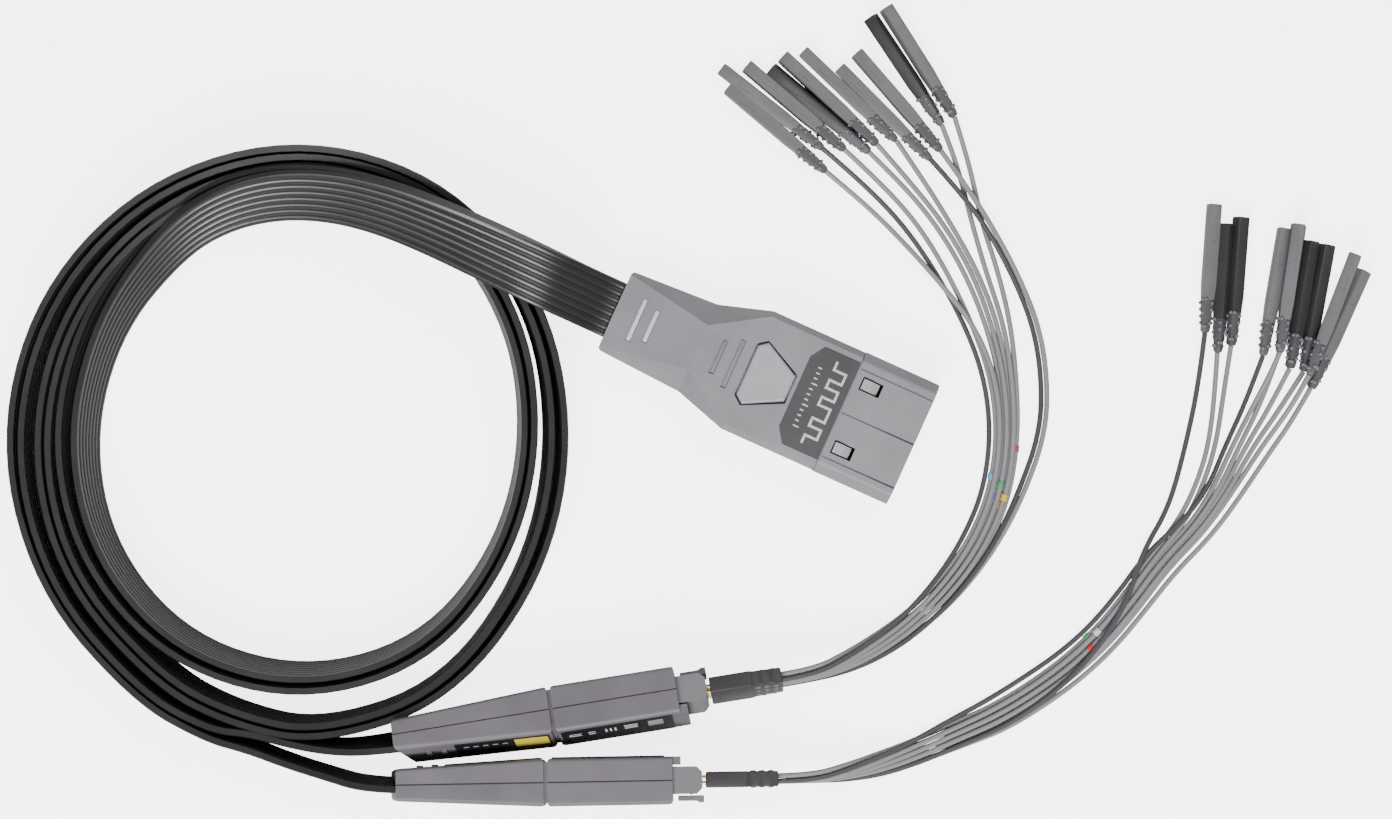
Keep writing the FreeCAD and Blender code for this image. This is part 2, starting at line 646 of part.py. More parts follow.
def plug_housing(tag):
    owner = body(f"plug_{tag}_housing")
    end = "$pod_length+$plug_outside"
    plan = outline(owner, "XY_Plane", "0", [
        ("$pod_length-$plug_inside", "-$plug_thick/2"), (f"{end}-1.3", "-$plug_thick/2"),
        (end, "-$plug_thick/2+1.3"), (end, "$plug_thick/2-1.3"),
        (f"{end}-1.3", "$plug_thick/2"), ("$pod_length-$plug_inside", "$plug_thick/2")])
    pad(owner, plan, "$plug_wide", both_ways=True)
    socket = rectangle(owner, "XZ_Plane", "0", "$pod_length-$plug_inside-1", "-$plug_wide/2+0.7",
                       "$pod_length-$plug_inside+5", "$plug_wide/2-0.7")
    pocket(owner, socket, "$plug_thick-1.6", both_ways=True)
    pivot = rings(owner, "XY_Plane", "0", [("$pod_length+4.4", "$plug_thick/2-0.3")], "0.5")
    pad(owner, pivot, "5", both_ways=True)
    keep(owner, POD_PLACES[tag])


def plug_latch(tag):
    owner = body(f"plug_{tag}_latch")
    low, high = "$plug_thick/2+$latch_gap", "$plug_thick/2+$latch_gap+$latch_thick"
    plate = outline(owner, "XY_Plane", "0", [
        ("$pod_length+1.2", low), ("$pod_length+7.4", low), ("$pod_length+7.4", f"{high}+0.4"),
        ("$pod_length+6.2", f"{high}+0.4"), ("$pod_length+5.6", high), ("$pod_length+1.2", high)])
    pad(owner, plate, "6", both_ways=True)
    keep(owner, POD_PLACES[tag])


def lead_rows():
    """Across and up of the ten leads where they leave a boot, five high and two wide."""
    pitch = size("lead_pitch")
    return [(side * pitch / 2, (row - 2) * pitch) for row in range(5) for side in (-1, 1)]


def plug_contacts(tag):
    start = size("pod_length") + size("plug_outside")
    crimps = [Part.makeCylinder(0.45, size("plug_gap"), V(start, across, up), V(1, 0, 0))
              for across, up in lead_rows()]
    shape_node(f"plug_{tag}_contacts", Part.makeCompound(crimps), POD_PLACES[tag])


def lead_boot(tag):
    owner = body(f"lead_boot_{tag}")
    start = "$pod_length+$plug_outside+$plug_gap"
    end_wide = "$lead_pitch*5+1.3"
    sections = []
    for along, wide, thick in (("0", "$boot_wide", "$boot_thick"),
                               ("$boot_length*0.58", "$boot_wide", "$boot_thick"),
                               ("$boot_length", end_wide, "$boot_thick-0.2")):
        sections.append(rectangle(owner, "YZ_Plane", f"{start}+{along}", f"-{thick}/2",
                                  f"-({wide})/2", f"{thick}/2", f"({wide})/2"))
    loft(owner, sections)
    keep(owner, POD_PLACES[tag])


# ---------------------------------------------------------------- leads and their sockets

# The points of each lead's route, from its boot to the tail of its socket.
ROUTES_A = [
    [(4.27, -72.00, 11.05), (12.1, -70.7, 10.8), (19.8, -67.5, 8.3), (27.3, -63.2, 5.1),
     (35.1, -57.7, 2.6), (43.3, -49.4, 1.9), (50.4, -39.2, 1.8), (55.3, -27.1, 1.8), (57.1, -13, 1.8),
     (55.7, 0.6, 1.8), (50.4, 13, 2.1), (40.5, 25.1, 2), (29.5, 37, 0.65), (21.6, 44.2, 0.65),
     (15, 49.6, 1.6)],
    [(4.21, -71.60, 12.30), (12.1, -70.3, 12), (19.5, -66.7, 9.3), (26.7, -62.2, 5.7),
     (34.3, -56.6, 2.6), (41.8, -48.1, 1.6), (48.3, -38.1, 0.65), (53, -26.7, 0.65), (54.7, -13, 0.65),
     (53, 0.6, 0.65), (48.2, 13.2, 0.65), (41.4, 25.6, 0.65), (33.5, 37, 0.65), (23.8, 47, 0.65),
     (14.2, 55.1, 1.6)],
    [(4.01, -70.36, 11.90), (11.9, -69.1, 11.6), (19.1, -65.8, 8.4), (26.5, -61.7, 4.5),
     (34.3, -56.6, 1.2), (42.5, -48.7, 0.65), (49.7, -38.8, 0.65), (54.5, -26.9, 0.65), (56.3, -13, 0.65),
     (54.6, 0.6, 0.65), (50.1, 13.2, 0.65), (44.1, 25.6, 0.65), (37.1, 37, 0.65), (28.3, 46.8, 0.65),
     (19.5, 54.8, 1.6)],
    [(4.07, -70.76, 10.64), (11.9, -69.5, 10.4), (19.4, -66.6, 7.4), (27.1, -62.8, 3.9),
     (35.1, -57.7, 1.2), (43.6, -49.7, 0.65), (51.1, -39.5, 0.65), (56.2, -27.2, 0.65), (57.9, -13, 0.65),
     (56.7, 0.6, 0.65), (53.4, 13.2, 0.65), (48.3, 25.6, 0.65), (41.4, 37, 0.65), (33.8, 46.1, 0.65),
     (25.4, 54.2, 1.6)],
    [(4.34, -72.41, 9.79), (12.2, -71.1, 9.5), (20.1, -68.3, 7.3), (27.9, -64.3, 4.6),
     (35.9, -58.7, 2.6), (44.4, -50.3, 1.9), (51.9, -39.9, 1.8), (57, -27.4, 1.8), (58.8, -13, 1.8),
     (57.7, 0.6, 1.8), (54.8, 13.2, 0.65), (50.1, 25.6, 0.65), (43.4, 37, 0.65), (35.4, 47, 0.65),
     (27.3, 56.1, 1.6)],
    [(4.14, -71.17, 9.39), (12, -69.9, 9.1), (19.8, -67.4, 6.5), (27.7, -63.8, 3.4),
     (35.9, -58.7, 1.2), (44.7, -50.6, 0.65), (52.6, -40.2, 0.65), (57.9, -27.5, 0.65), (59.6, -13, 0.65),
     (58.6, 0.6, 0.65), (56.3, 13.2, 0.65), (51.5, 25.6, 0.65), (45.1, 37, 0.65), (38.5, 47.5, 0.65),
     (31.9, 57, 1.6)],
    [(4.47, -73.21, 7.28), (12.3, -71.9, 7), (20.8, -69.9, 5.4), (29.1, -66.4, 3.5),
     (37.5, -60.8, 2.6), (46.6, -52.2, 1.9), (54.7, -41.3, 1.8), (61.2, -28.1, 0.65), (66.6, -13, 0.65),
     (66.9, 0.6, 0.65), (64.7, 13.2, 0.65), (59.5, 25.6, 0.65), (53, 37, 2.1), (46.1, 45.8, 2.1),
     (40.1, 52.5, 1.6)],
    [(4.27, -71.97, 6.88), (12.1, -70.7, 6.6), (20.4, -69, 4.5), (28.9, -65.9, 2.3),
     (37.5, -60.8, 1.2), (46.9, -52.5, 0.65), (55.4, -41.7, 0.65), (62.6, -28.4, 0.65), (68, -13, 0.65),
     (68.3, 0.6, 0.65), (66.1, 13.2, 0.65), (60.9, 25.6, 0.65), (54.5, 37, 2.1), (48.5, 46.3, 2.2),
     (42.6, 54.6, 1.6)],
    [(4.40, -72.81, 8.54), (12.3, -71.5, 8.2), (20.5, -69.1, 6.4), (28.5, -65.3, 4.1),
     (36.7, -59.7, 2.6), (45.5, -51.3, 1.9), (53.3, -40.6, 1.8), (58.6, -27.7, 1.8), (60.4, -13, 1.8),
     (59.7, 0.6, 1.5), (57.7, 13.2, 0.65), (53.5, 25.6, 0.65), (50.2, 37, 0.65), (48, 45.8, 0.65),
     (45.7, 53.7, 0.9), (42.8, 60.8, 1.6)],
    [(4.20, -71.57, 8.13), (12.1, -70.3, 7.8), (20.1, -68.2, 5.5), (28.3, -64.9, 2.9),
     (36.7, -59.7, 1.2), (45.8, -51.5, 0.65), (54, -41, 0.65), (59.4, -27.8, 0.65), (61.3, -13, 0.65),
     (60.8, 0.6, 0.65), (59.4, 13.2, 0.65), (56.4, 25.6, 0.65), (52.6, 37, 0.65), (50.7, 46.1, 0.65),
     (48.5, 54.6, 0.9), (45.9, 62.7, 1.6)],
]
ROUTES_B = [
    [(3.31, -96.38, 6.29), (11.4, -96.2, 6.1), (20, -96.2, 4), (28.7, -95, 3), (37.5, -92.2, 2.6),
     (46.9, -88.4, 1.9), (57.2, -84.1, 1.8), (66.7, -77.9, 2.5), (75.1, -70.6, 3.1),
     (81.9, -62.3, 3.2), (87.4, -52.9, 3.2), (91.1, -41.4, 2.6), (97.4, -31.4, 0.65),
     (101.2, -17.7, 0.65), (104.7, -1.5, 0.65), (106, 10.8, 1.6)],
    [(3.26, -94.48, 11.39), (11.4, -94.3, 11.1), (19.4, -92.4, 8), (27.4, -90, 4.4),
     (35.7, -87.3, 1.3), (44.7, -83.4, 0.65), (54.5, -79.2, 0.65), (63.9, -73.6, 0.65),
     (72.5, -67.3, 0.65), (79.9, -60.4, 0.65), (86.6, -52.3, 0.65), (93.3, -42.8, 0.65),
     (100.4, -33.4, 0.65), (104.6, -24.4, 0.65), (107.1, -15.8, 0.65), (108.5, -4.4, 0.65),
     (109, 6.1, 1.6)],
    [(3.30, -95.94, 10.23), (11.4, -95.8, 10.0), (19.7, -94.2, 7.5), (27.8, -91.7, 4.9),
     (36.2, -88.5, 2.6), (45.2, -84.4, 1.9), (54.9, -79.9, 1.8), (64.3, -74.3, 1.8), (73, -67.9, 1.8),
     (80.5, -60.9, 1.8), (87.2, -52.7, 1.8), (94, -43.3, 1.8), (101.7, -34.3, 0.65), (106, -25.1, 0.65),
     (108.9, -15.8, 0.65), (110.7, -3.5, 0.65), (112.3, 7.7, 1.6)],
    [(3.29, -95.79, 11.54), (11.4, -95.6, 11.2), (19.6, -93.5, 8.6), (27.5, -90.6, 5.6),
     (35.7, -87.3, 2.6), (44.3, -82.5, 1.6), (53.7, -77.6, 0.65), (62.8, -71.9, 0.65), (71.4, -66, 0.65),
     (78.8, -59.4, 0.65), (85.5, -51.4, 0.65), (92.1, -42, 1.5), (101.2, -33.9, 2.3), (107.1, -25.7, 2),
     (111.1, -16.3, 0.65), (116.1, -5.6, 0.65), (120, 5.4, 1.6)],
    [(3.27, -94.62, 10.08), (11.4, -94.5, 9.8), (19.5, -93.1, 6.8), (27.7, -91.1, 3.8),
     (36.2, -88.5, 1.3), (45.3, -84.7, 0.65), (55.3, -80.6, 0.65), (64.7, -74.9, 0.65),
     (73.5, -68.6, 0.65), (81, -61.5, 0.65), (87.9, -53.2, 0.65), (94.7, -43.8, 0.65), (102.8, -35, 0.65),
     (108.3, -26.4, 0.65), (112.8, -16.3, 0.65), (118, -6.1, 1.5), (121.1, 0.4, 3.9), (123.5, 6.1, 4.8)],
    [(3.30, -96.09, 8.91), (11.4, -95.9, 8.7), (19.8, -94.8, 6.3), (28.1, -92.8, 4.3),
     (36.6, -89.8, 2.6), (45.7, -85.7, 1.9), (55.7, -81.3, 1.8), (65.2, -75.6, 1.8), (74, -69.2, 1.8),
     (81.6, -62, 1.8), (88.5, -53.7, 1.8), (95.4, -44.2, 1.8), (103.6, -35.6, 1.6),
     (109.4, -26.9, 1.4), (114.5, -16.3, 0.65), (120, -5.4, 0.65), (123.9, 6.1, 1.6)],
    [(3.27, -94.77, 8.77), (11.4, -94.6, 8.5), (19.6, -93.7, 5.7), (28, -92.2, 3.1), (36.6, -89.8, 1.3),
     (45.9, -86.1, 0.65), (56, -82, 0.65), (65.6, -76.3, 0.65), (74.5, -69.8, 0.65), (82.2, -62.6, 0.65),
     (89.2, -54.2, 0.65), (96.1, -44.7, 0.65), (104.4, -36.1, 0.65), (110.4, -27.4, 0.65),
     (116.1, -16.3, 0.65), (121.9, -6.8, 0.65), (126.4, 2.3, 1.6)],
    [(3.30, -96.24, 7.60), (11.4, -96.1, 7.4), (19.9, -95.5, 5.2), (28.4, -93.9, 3.6),
     (37.1, -91, 2.6), (46.3, -87, 1.9), (56.4, -82.7, 1.8), (66.1, -76.9, 1.8), (75, -70.4, 1.8),
     (82.8, -63.1, 1.8), (89.8, -54.6, 1.8), (96.8, -45.2, 1.8), (105.1, -36.6, 1.6),
     (111.3, -27.9, 1.3), (117.8, -16.5, 0.65), (124.2, -7.5, 0.65), (129.7, 1.5, 1.6)],
    [(3.27, -94.92, 7.45), (11.4, -94.8, 7.2), (19.7, -94.4, 4.5), (28.3, -93.3, 2.5),
     (37.1, -91, 1.3), (46.5, -87.4, 0.65), (56.8, -83.4, 0.65), (66.5, -77.6, 0.65), (75.5, -71, 0.65),
     (83.4, -63.7, 0.65), (90.5, -55.1, 0.65), (97.5, -45.7, 0.65), (105.9, -37.1, 0.65),
     (112.2, -28.4, 0.65), (119.7, -16.8, 0.65), (123.8, -11.1, 1.6), (127.3, -5.4, 3.9),
     (130.4, 0.6, 4.8)],
    [(3.28, -95.07, 6.14), (11.4, -94.9, 5.9), (19.8, -95, 3.4), (28.6, -94.4, 1.8),
     (37.5, -92.2, 1.3), (47.1, -88.7, 0.65), (57.6, -84.8, 0.65), (67.4, -78.9, 0.65),
     (76.6, -72.2, 0.65), (84.5, -64.8, 0.65), (91.7, -56.1, 0.65), (99.1, -46.7, 0.65),
     (107.5, -38.2, 0.65), (114.1, -29.4, 0.65), (121.9, -17.7, 0.65), (127.1, -10.4, 0.65),
     (131.4, -2.5, 1.6)],
]

# Which way each socket points from its tail, in degrees.
SOCKET_TURNS_A = [139.7, 141.8, 139.6, 139.8, 137.2, 136.3, 134.8, 130.9, 123.7, 122.3]
SOCKET_TURNS_B = [85.8, 86.0, 85.6, 80.4, 81.6, 81.5, 80.6, 79.5, 69.0, 66.0]


def rounded_route(points, label):
    """Straight runs joined by arcs as large as their runs allow, and the length of them all."""
    points = [V(*p) for p in points]
    edges, radii = [], []
    at = points[0]
    for before, corner, after in zip(points, points[1:], points[2:]):
        back, on = before - corner, after - corner
        cut = 0.45 * min(back.Length, on.Length)
        turned = math.pi - back.getAngle(on)
        radius = cut / math.tan(turned / 2)
        radii.append(radius)
        start = corner + back.normalize() * cut
        end = corner + on.normalize() * cut
        inward = (back + on).normalize()
        middle = corner + inward * (radius / math.cos(turned / 2) - radius)
        edges.append(Part.LineSegment(at, start).toShape())
        edges.append(Part.Arc(start, middle, end).toShape())
        at = end
    edges.append(Part.LineSegment(at, points[-1]).toShape())
    wire = Part.Wire(edges)
    print(f"{label}: length {wire.Length:.1f}, tightest bend {min(radii):.1f}")
    return wire


def check_volume(label, solid, area, length):
    share = solid.Volume / (area * length)
    if abs(share - 1) > 0.02:
        raise RuntimeError(f"{label}: the tube holds {share:.3f} of its section times its length")


def lead(name, points):
    wire = rounded_route(points, name)
    start, ahead = V(*points[0]), V(*points[1])
    ring = Part.Wire(Part.Circle(start, ahead - start, size("lead_diameter") / 2).toShape())
    solid = wire.makePipeShell([ring], True, True)
    check_volume(name, solid, math.pi * size("lead_diameter") ** 2 / 4, wire.Length)
    shape_node(name, solid)


def square_wire(side, along):
    half = side / 2
    corners = [V(along, -half, -half), V(along, half, -half), V(along, half, half),
               V(along, -half, half)]
    return Part.makePolygon(corners + corners[:1])


def one_socket():
    """A socket along +X from its tail at the origin, with the bore for its contact."""
    side, relief = size("socket_side"), size("relief_length")
    shell = box_at((relief, -side / 2, -side / 2), (relief + size("socket_body"), side / 2, side / 2))
    tail = Part.makeLoft([square_wire(size("relief_end"), 0), square_wire(side * 0.86, relief)],
                         True, True)
    end = relief + size("socket_body")
    depth = size("contact_length") + 0.5
    bore = Part.makeCylinder(size("socket_bore"), depth, V(end - depth, 0, 0), V(1, 0, 0))
    return shell.fuse(tail).removeSplitter().cut(bore)


def one_contact():
    start = size("relief_length") + size("socket_body") - size("contact_length") - 0.5
    outer = Part.makeCylinder(size("socket_bore"), size("contact_length"), V(start, 0, 0), V(1, 0, 0))
    inner = Part.makeCylinder(size("contact_bore"), size("contact_length"), V(start, 0, 0), V(1, 0, 0))
    return outer.cut(inner)


def sockets(tag, routes, turns):
    housings, contacts = [], []
    for route, angle in zip(routes, turns):
        place = FreeCAD.Placement(V(*route[-1]), FreeCAD.Rotation(V(0, 0, 1), angle))
        for shapes, made in ((housings, one_socket()), (contacts, one_contact())):
            made.Placement = place
            shapes.append(made)
    shape_node(f"sockets_{tag}", Part.makeCompound(housings))
    shape_node(f"socket_contacts_{tag}", Part.makeCompound(contacts))


# ---------------------------------------------------------------- ribbon cables

COIL_OUTER = (-112.7, -14.9, 66.1, 70.0)   # middle x and y, half width, half depth
COIL_INNER = (-109.1, -14.3, 49.0, 53.9)
HEAD_RUN = [(-27.43, 12.39, 6.0), (-36.2, 16.35, 6.0), (-44.0, 19.87, 11.4), (-52.2, 23.7, 16.4),
            (-62.0, 28.3, 15.75), (-73.0, 33.4, 15.75), (-84.5, 38.0, 15.75), (-97.0, 41.7, 15.75),
            (-109.5, 43.5, 15.75)]
TAIL_A = [(-83.42, -85.99, 9.6), (-92.0, -87.38, 9.0), (-100.5, -87.9, 8.2), (-108.5, -87.0, 7.4),
          (-116.0, -84.7, 7.0)]
TAIL_B = [(-85.5, -96.98, 8.84), (-94.0, -97.13, 8.4), (-102.3, -94.9, 7.9), (-110.6, -92.2, 7.5),
          (-118.6, -88.8, 7.2), (-126.6, -84.9, 7.0), (-133.5, -80.4, 7.0)]


def oval(spec):
    x, y, wide, deep = spec
    curve = Part.Ellipse(V(x, y + deep, 0), V(x + wide, y, 0), V(x, y, 0))
    return Part.Face(Part.Wire(curve.toShape()))


def ribbon_coil():
    up = V(0, 0, size("ribbon_width"))
    shape_node("ribbon_coil", oval(COIL_OUTER).extrude(up).cut(oval(COIL_INNER).extrude(up)))


def band(name, points, across, tall, upright=V(0, 0, 1)):
    """A band whose section keeps one side along the upright direction all the way."""
    wire = rounded_route(points, name)
    start, ahead = V(*points[0]), V(*points[1])
    left = upright.cross(ahead - start).normalize() * (across / 2)
    up = upright * (tall / 2)
    corners = [start - left - up, start + left - up, start + left + up, start - left + up]
    sweep = Part.BRepOffsetAPI.MakePipeShell(wire)
    sweep.setBiNormalMode(upright)
    sweep.add(Part.makePolygon(corners + corners[:1]))
    sweep.build()
    sweep.makeSolid()
    shape_node(name, sweep.shape())


# ---------------------------------------------------------------- all of it

head_top_shell()
head_bottom_shell()
connector_housing()
connector_insert()
connector_contacts()
release_button()
latch_lever()
latch_pin()
return_spring()
head_board()
cable_clamp()
head_screws()
head_label()
pod_pins()
for pod in ("a", "b"):
    pod_shell(pod, -1, "front_shell")
    pod_shell(pod, 1, "back_shell")
    pod_label(pod)
    pod_board(pod)
    pod_header(pod)
    plug_housing(pod)
    plug_latch(pod)
    plug_contacts(pod)
    lead_boot(pod)
for tag, routes, turns in (("a", ROUTES_A, SOCKET_TURNS_A), ("b", ROUTES_B, SOCKET_TURNS_B)):
    for number, route in enumerate(routes, start=1):
        lead(f"lead_{tag}{number}", route)
    sockets(tag, routes, turns)
ribbon_coil()
band("ribbon_head_run", HEAD_RUN, size("ribbon_width"), 2 * size("ribbon_thick"))
band("ribbon_tail_a", TAIL_A, size("ribbon_thick"), size("ribbon_width"),
     POD_PLACES["a"].Rotation.multVec(V(0, 0, 1)))
band("ribbon_tail_b", TAIL_B, size("ribbon_thick"), size("ribbon_width"))

DOC.recompute()
for obj in DOC.Objects:
    if "Invalid" in obj.State or "Error" in obj.State:
        raise RuntimeError(f"{obj.Label} did not compute: {obj.State}")
for label, obj in NODES.items():
    if obj.Shape.isNull() or not obj.Shape.isValid() or not obj.Shape.Solids:
        raise RuntimeError(f"{label} has no valid solid")

os.makedirs("parts", exist_ok=True)
for label, obj in NODES.items():
    obj.Shape.exportStep(f"parts/{label}.step")
print(len(NODES), "nodes written")
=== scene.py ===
# %% [markdown]
# # A logic analyzer's probe set
#
# A connector head plugs into an instrument. Two flat ribbon cables leave it, lie wound in a loose
# coil, and end in two pods that stand on edge. A plug in each pod carries ten thin leads, and each
# lead ends in a pin socket. The CAD model is loaded first as a fixed frame: hard pieces keep their
# CAD shape and get a finish, and soft or finely detailed pieces are made here in their place.

# %% Load the frame
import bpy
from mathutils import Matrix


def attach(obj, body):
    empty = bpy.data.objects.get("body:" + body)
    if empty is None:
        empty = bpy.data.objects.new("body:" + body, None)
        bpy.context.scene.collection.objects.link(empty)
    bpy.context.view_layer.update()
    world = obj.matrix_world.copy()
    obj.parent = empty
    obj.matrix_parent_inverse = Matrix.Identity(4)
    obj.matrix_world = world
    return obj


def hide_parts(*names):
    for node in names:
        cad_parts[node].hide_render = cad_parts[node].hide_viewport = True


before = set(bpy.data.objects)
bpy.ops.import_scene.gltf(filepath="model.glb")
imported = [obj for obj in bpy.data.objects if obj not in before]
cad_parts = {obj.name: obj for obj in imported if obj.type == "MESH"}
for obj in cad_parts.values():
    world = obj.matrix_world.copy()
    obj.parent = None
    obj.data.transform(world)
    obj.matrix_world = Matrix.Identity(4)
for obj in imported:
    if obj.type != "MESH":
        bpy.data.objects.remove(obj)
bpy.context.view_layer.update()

# %% Tools used all the way through
import math
import bpy
import bmesh
from mathutils import Matrix, Vector

MM = 0.001


def deselect():
    """Nothing selected, nothing in edit mode: the state before each new piece."""
    if bpy.context.object and bpy.context.object.mode != "OBJECT":
        bpy.ops.object.mode_set(mode="OBJECT")
    bpy.ops.object.select_all(action="DESELECT")


def take(obj):
    """Make one object the selected and active one."""
    deselect()
    obj.select_set(True)
    bpy.context.view_layer.objects.active = obj
    return obj


# %% [markdown]
# ## Camera, floor and light
#
# The set lies on a white table and is seen from straight above, so a long lens high over it keeps
# the sides of the pods nearly hidden. The light is two large soft panels, a strong one in front and
# a weak one behind, in an even surround: that gives small pale shadows under things so low.

# %% Camera straight above
CAMERA_SPOT = (-0.0162, -0.0076, 0.791)
CAMERA_ABOVE_SET = 0.783   # from the lens to the middle height of the set
SENSOR, LENS = 36.0, 85.0   # millimetres
bpy.ops.object.camera_add(location=CAMERA_SPOT, rotation=(0, 0, 0))
camera = bpy.context.object
camera.name = "overhead_camera"
camera.data.sensor_width = SENSOR
camera.data.lens = LENS
camera.data.clip_start = 0.01
bpy.context.scene.camera = camera
print("camera sees", round(CAMERA_ABOVE_SET * SENSOR / LENS, 4), "m across the table")

# %% Floor
deselect()
bpy.ops.mesh.primitive_plane_add(size=6, location=(0, 0, 0))
floor = bpy.context.object
floor.name = "table_top"
floor_paint = bpy.data.materials.new("white_table")
floor_paint.use_nodes = True
floor_nodes, floor_links = floor_paint.node_tree.nodes, floor_paint.node_tree.links
floor_shader = floor_nodes["Principled BSDF"]
floor_shader.inputs["Base Color"].default_value = (0.93, 0.93, 0.935, 1)
floor_shader.inputs["Roughness"].default_value = 0.75
floor_shader.inputs["Specular IOR Level"].default_value = 0.1
# a lit table top: what is seen of it directly is brighter than what it throws on the object
SEEN_GLOW = 4.2
seen = floor_nodes.new("ShaderNodeLightPath")
glow = floor_nodes.new("ShaderNodeEmission")
strength = floor_nodes.new("ShaderNodeMath")
strength.operation = "MULTIPLY"
strength.inputs[1].default_value = SEEN_GLOW
both = floor_nodes.new("ShaderNodeAddShader")
floor_links.new(seen.outputs["Is Camera Ray"], strength.inputs[0])
floor_links.new(strength.outputs["Value"], glow.inputs["Strength"])
floor_links.new(floor_shader.outputs["BSDF"], both.inputs[0])
floor_links.new(glow.outputs["Emission"], both.inputs[1])
floor_links.new(both.outputs["Shader"], floor_nodes["Material Output"].inputs["Surface"])
floor.data.materials.append(floor_paint)

# %% Light
world = bpy.data.worlds.new("bright_room")
bpy.context.scene.world = world
world.use_nodes = True
world.node_tree.nodes["Background"].inputs["Color"].default_value = (1, 1, 1, 1)
world.node_tree.nodes["Background"].inputs["Strength"].default_value = 0.30


def panel(name, place, size, power):
    """A square light panel that faces the middle of the set."""
    deselect()
    bpy.ops.object.light_add(type="AREA", location=place)
    lamp = bpy.context.object
    lamp.name = name
    lamp.data.size = size
    lamp.data.energy = power
    toward = Vector((-0.02, -0.01, 0)) - Vector(place)
    lamp.rotation_euler = toward.to_track_quat("-Z", "Y").to_euler()
    return lamp


panel("panel_front", (-0.25, -0.95, 1.15), 0.7, 30)
panel("panel_back", (0.55, 0.75, 1.2), 0.8, 9)

# %% [markdown]
# ## Finishes
#
# Almost everything is moulded plastic, which is never one flat colour: the surface has a fine
# spark-eroded grain that spreads highlights, the colour drifts a little over a piece, and handled
# areas are slightly smoother. A noise at three sizes gives all of that, in Object coordinates, so
# that it keeps its real scale on every piece.

# %% A moulded finish
def moulded(name, colour, rough, grain=1800.0, depth=0.05, drift=0.10, specular=0.4, slot_rough=0.08):
    """Plastic or rubber: fine grain in the bump, slow drift in colour and roughness."""
    made = bpy.data.materials.new(name)
    made.use_nodes = True
    nodes, links = made.node_tree.nodes, made.node_tree.links
    shader = nodes["Principled BSDF"]
    shader.inputs["Specular IOR Level"].default_value = specular
    place = nodes.new("ShaderNodeTexCoord")
    slow = nodes.new("ShaderNodeTexNoise")
    slow.inputs["Scale"].default_value = 70.0
    slow.inputs["Detail"].default_value = 4.0
    links.new(place.outputs["Object"], slow.inputs["Vector"])
    tones = nodes.new("ShaderNodeValToRGB")
    tones.color_ramp.elements[0].position = 0.3
    tones.color_ramp.elements[1].position = 0.7
    tones.color_ramp.elements[0].color = (*[c * (1 - drift) for c in colour], 1)
    tones.color_ramp.elements[1].color = (*[min(1.0, c * (1 + drift)) for c in colour], 1)
    links.new(slow.outputs["Fac"], tones.inputs["Fac"])
    links.new(tones.outputs["Color"], shader.inputs["Base Color"])
    wear = nodes.new("ShaderNodeMapRange")
    wear.inputs["To Min"].default_value = rough - slot_rough
    wear.inputs["To Max"].default_value = rough + slot_rough
    links.new(slow.outputs["Fac"], wear.inputs["Value"])
    links.new(wear.outputs["Result"], shader.inputs["Roughness"])
    fine = nodes.new("ShaderNodeTexNoise")
    fine.inputs["Scale"].default_value = grain
    fine.inputs["Detail"].default_value = 2.0
    links.new(place.outputs["Object"], fine.inputs["Vector"])
    bump = nodes.new("ShaderNodeBump")
    bump.inputs["Strength"].default_value = 0.35
    bump.inputs["Distance"].default_value = depth * MM
    links.new(fine.outputs["Fac"], bump.inputs["Height"])
    links.new(bump.outputs["Normal"], shader.inputs["Normal"])
    return made


HEAD_GREY = moulded("head_grey", (0.268, 0.253, 0.276), 0.5)
BUTTON_GREY = moulded("button_grey", (0.40, 0.388, 0.418), 0.42)
POD_GREY = moulded("pod_grey", (0.165, 0.152, 0.170), 0.46)
PLUG_GREY = moulded("plug_grey", (0.19, 0.183, 0.197), 0.5)
SOCKET_GREY = moulded("socket_grey", (0.040, 0.037, 0.041), 0.42)
BOOT_BLACK = moulded("boot_rubber", (0.042, 0.038, 0.042), 0.5, depth=0.03)
INSERT_BLACK = moulded("insert_black", (0.02, 0.02, 0.022), 0.45)
LABEL_GREY = moulded("label_grey", (0.075, 0.069, 0.076), 0.42, grain=900, depth=0.01)
LABEL_BLACK = moulded("label_black", (0.012, 0.012, 0.014), 0.35, grain=900, depth=0.01)
RIBBON_BLACK = moulded("ribbon_vinyl", (0.017, 0.016, 0.018), 0.34, grain=700, depth=0.02, specular=0.6)
LEAD_GREY = moulded("lead_light", (0.27, 0.262, 0.272), 0.4, grain=1200, depth=0.01, drift=0.05)
LEAD_DARK = moulded("lead_dark", (0.07, 0.068, 0.075), 0.4, grain=1200, depth=0.01, drift=0.08)
BOARD_GREEN = moulded("board_green", (0.015, 0.10, 0.05), 0.35, grain=500, depth=0.02)
PRINT_WHITE = moulded("print_white", (0.62, 0.62, 0.64), 0.5, depth=0.005, drift=0.03)
# pale blue is painted reflection, laid in the boot's slots where light glints; it is not a print
PAINTED_REFLECTION_BLUE = moulded("painted_reflection_pale_blue", (0.62, 0.66, 0.76), 0.5, depth=0.005, drift=0.03)
PRINT_YELLOW = moulded("print_yellow", (0.72, 0.56, 0.05), 0.45, depth=0.005, drift=0.04)
PRINT_GREY = moulded("print_grey", (0.30, 0.30, 0.32), 0.5, depth=0.005, drift=0.03)
print("moulded finishes", len([m for m in bpy.data.materials if m.use_nodes]) - 1)


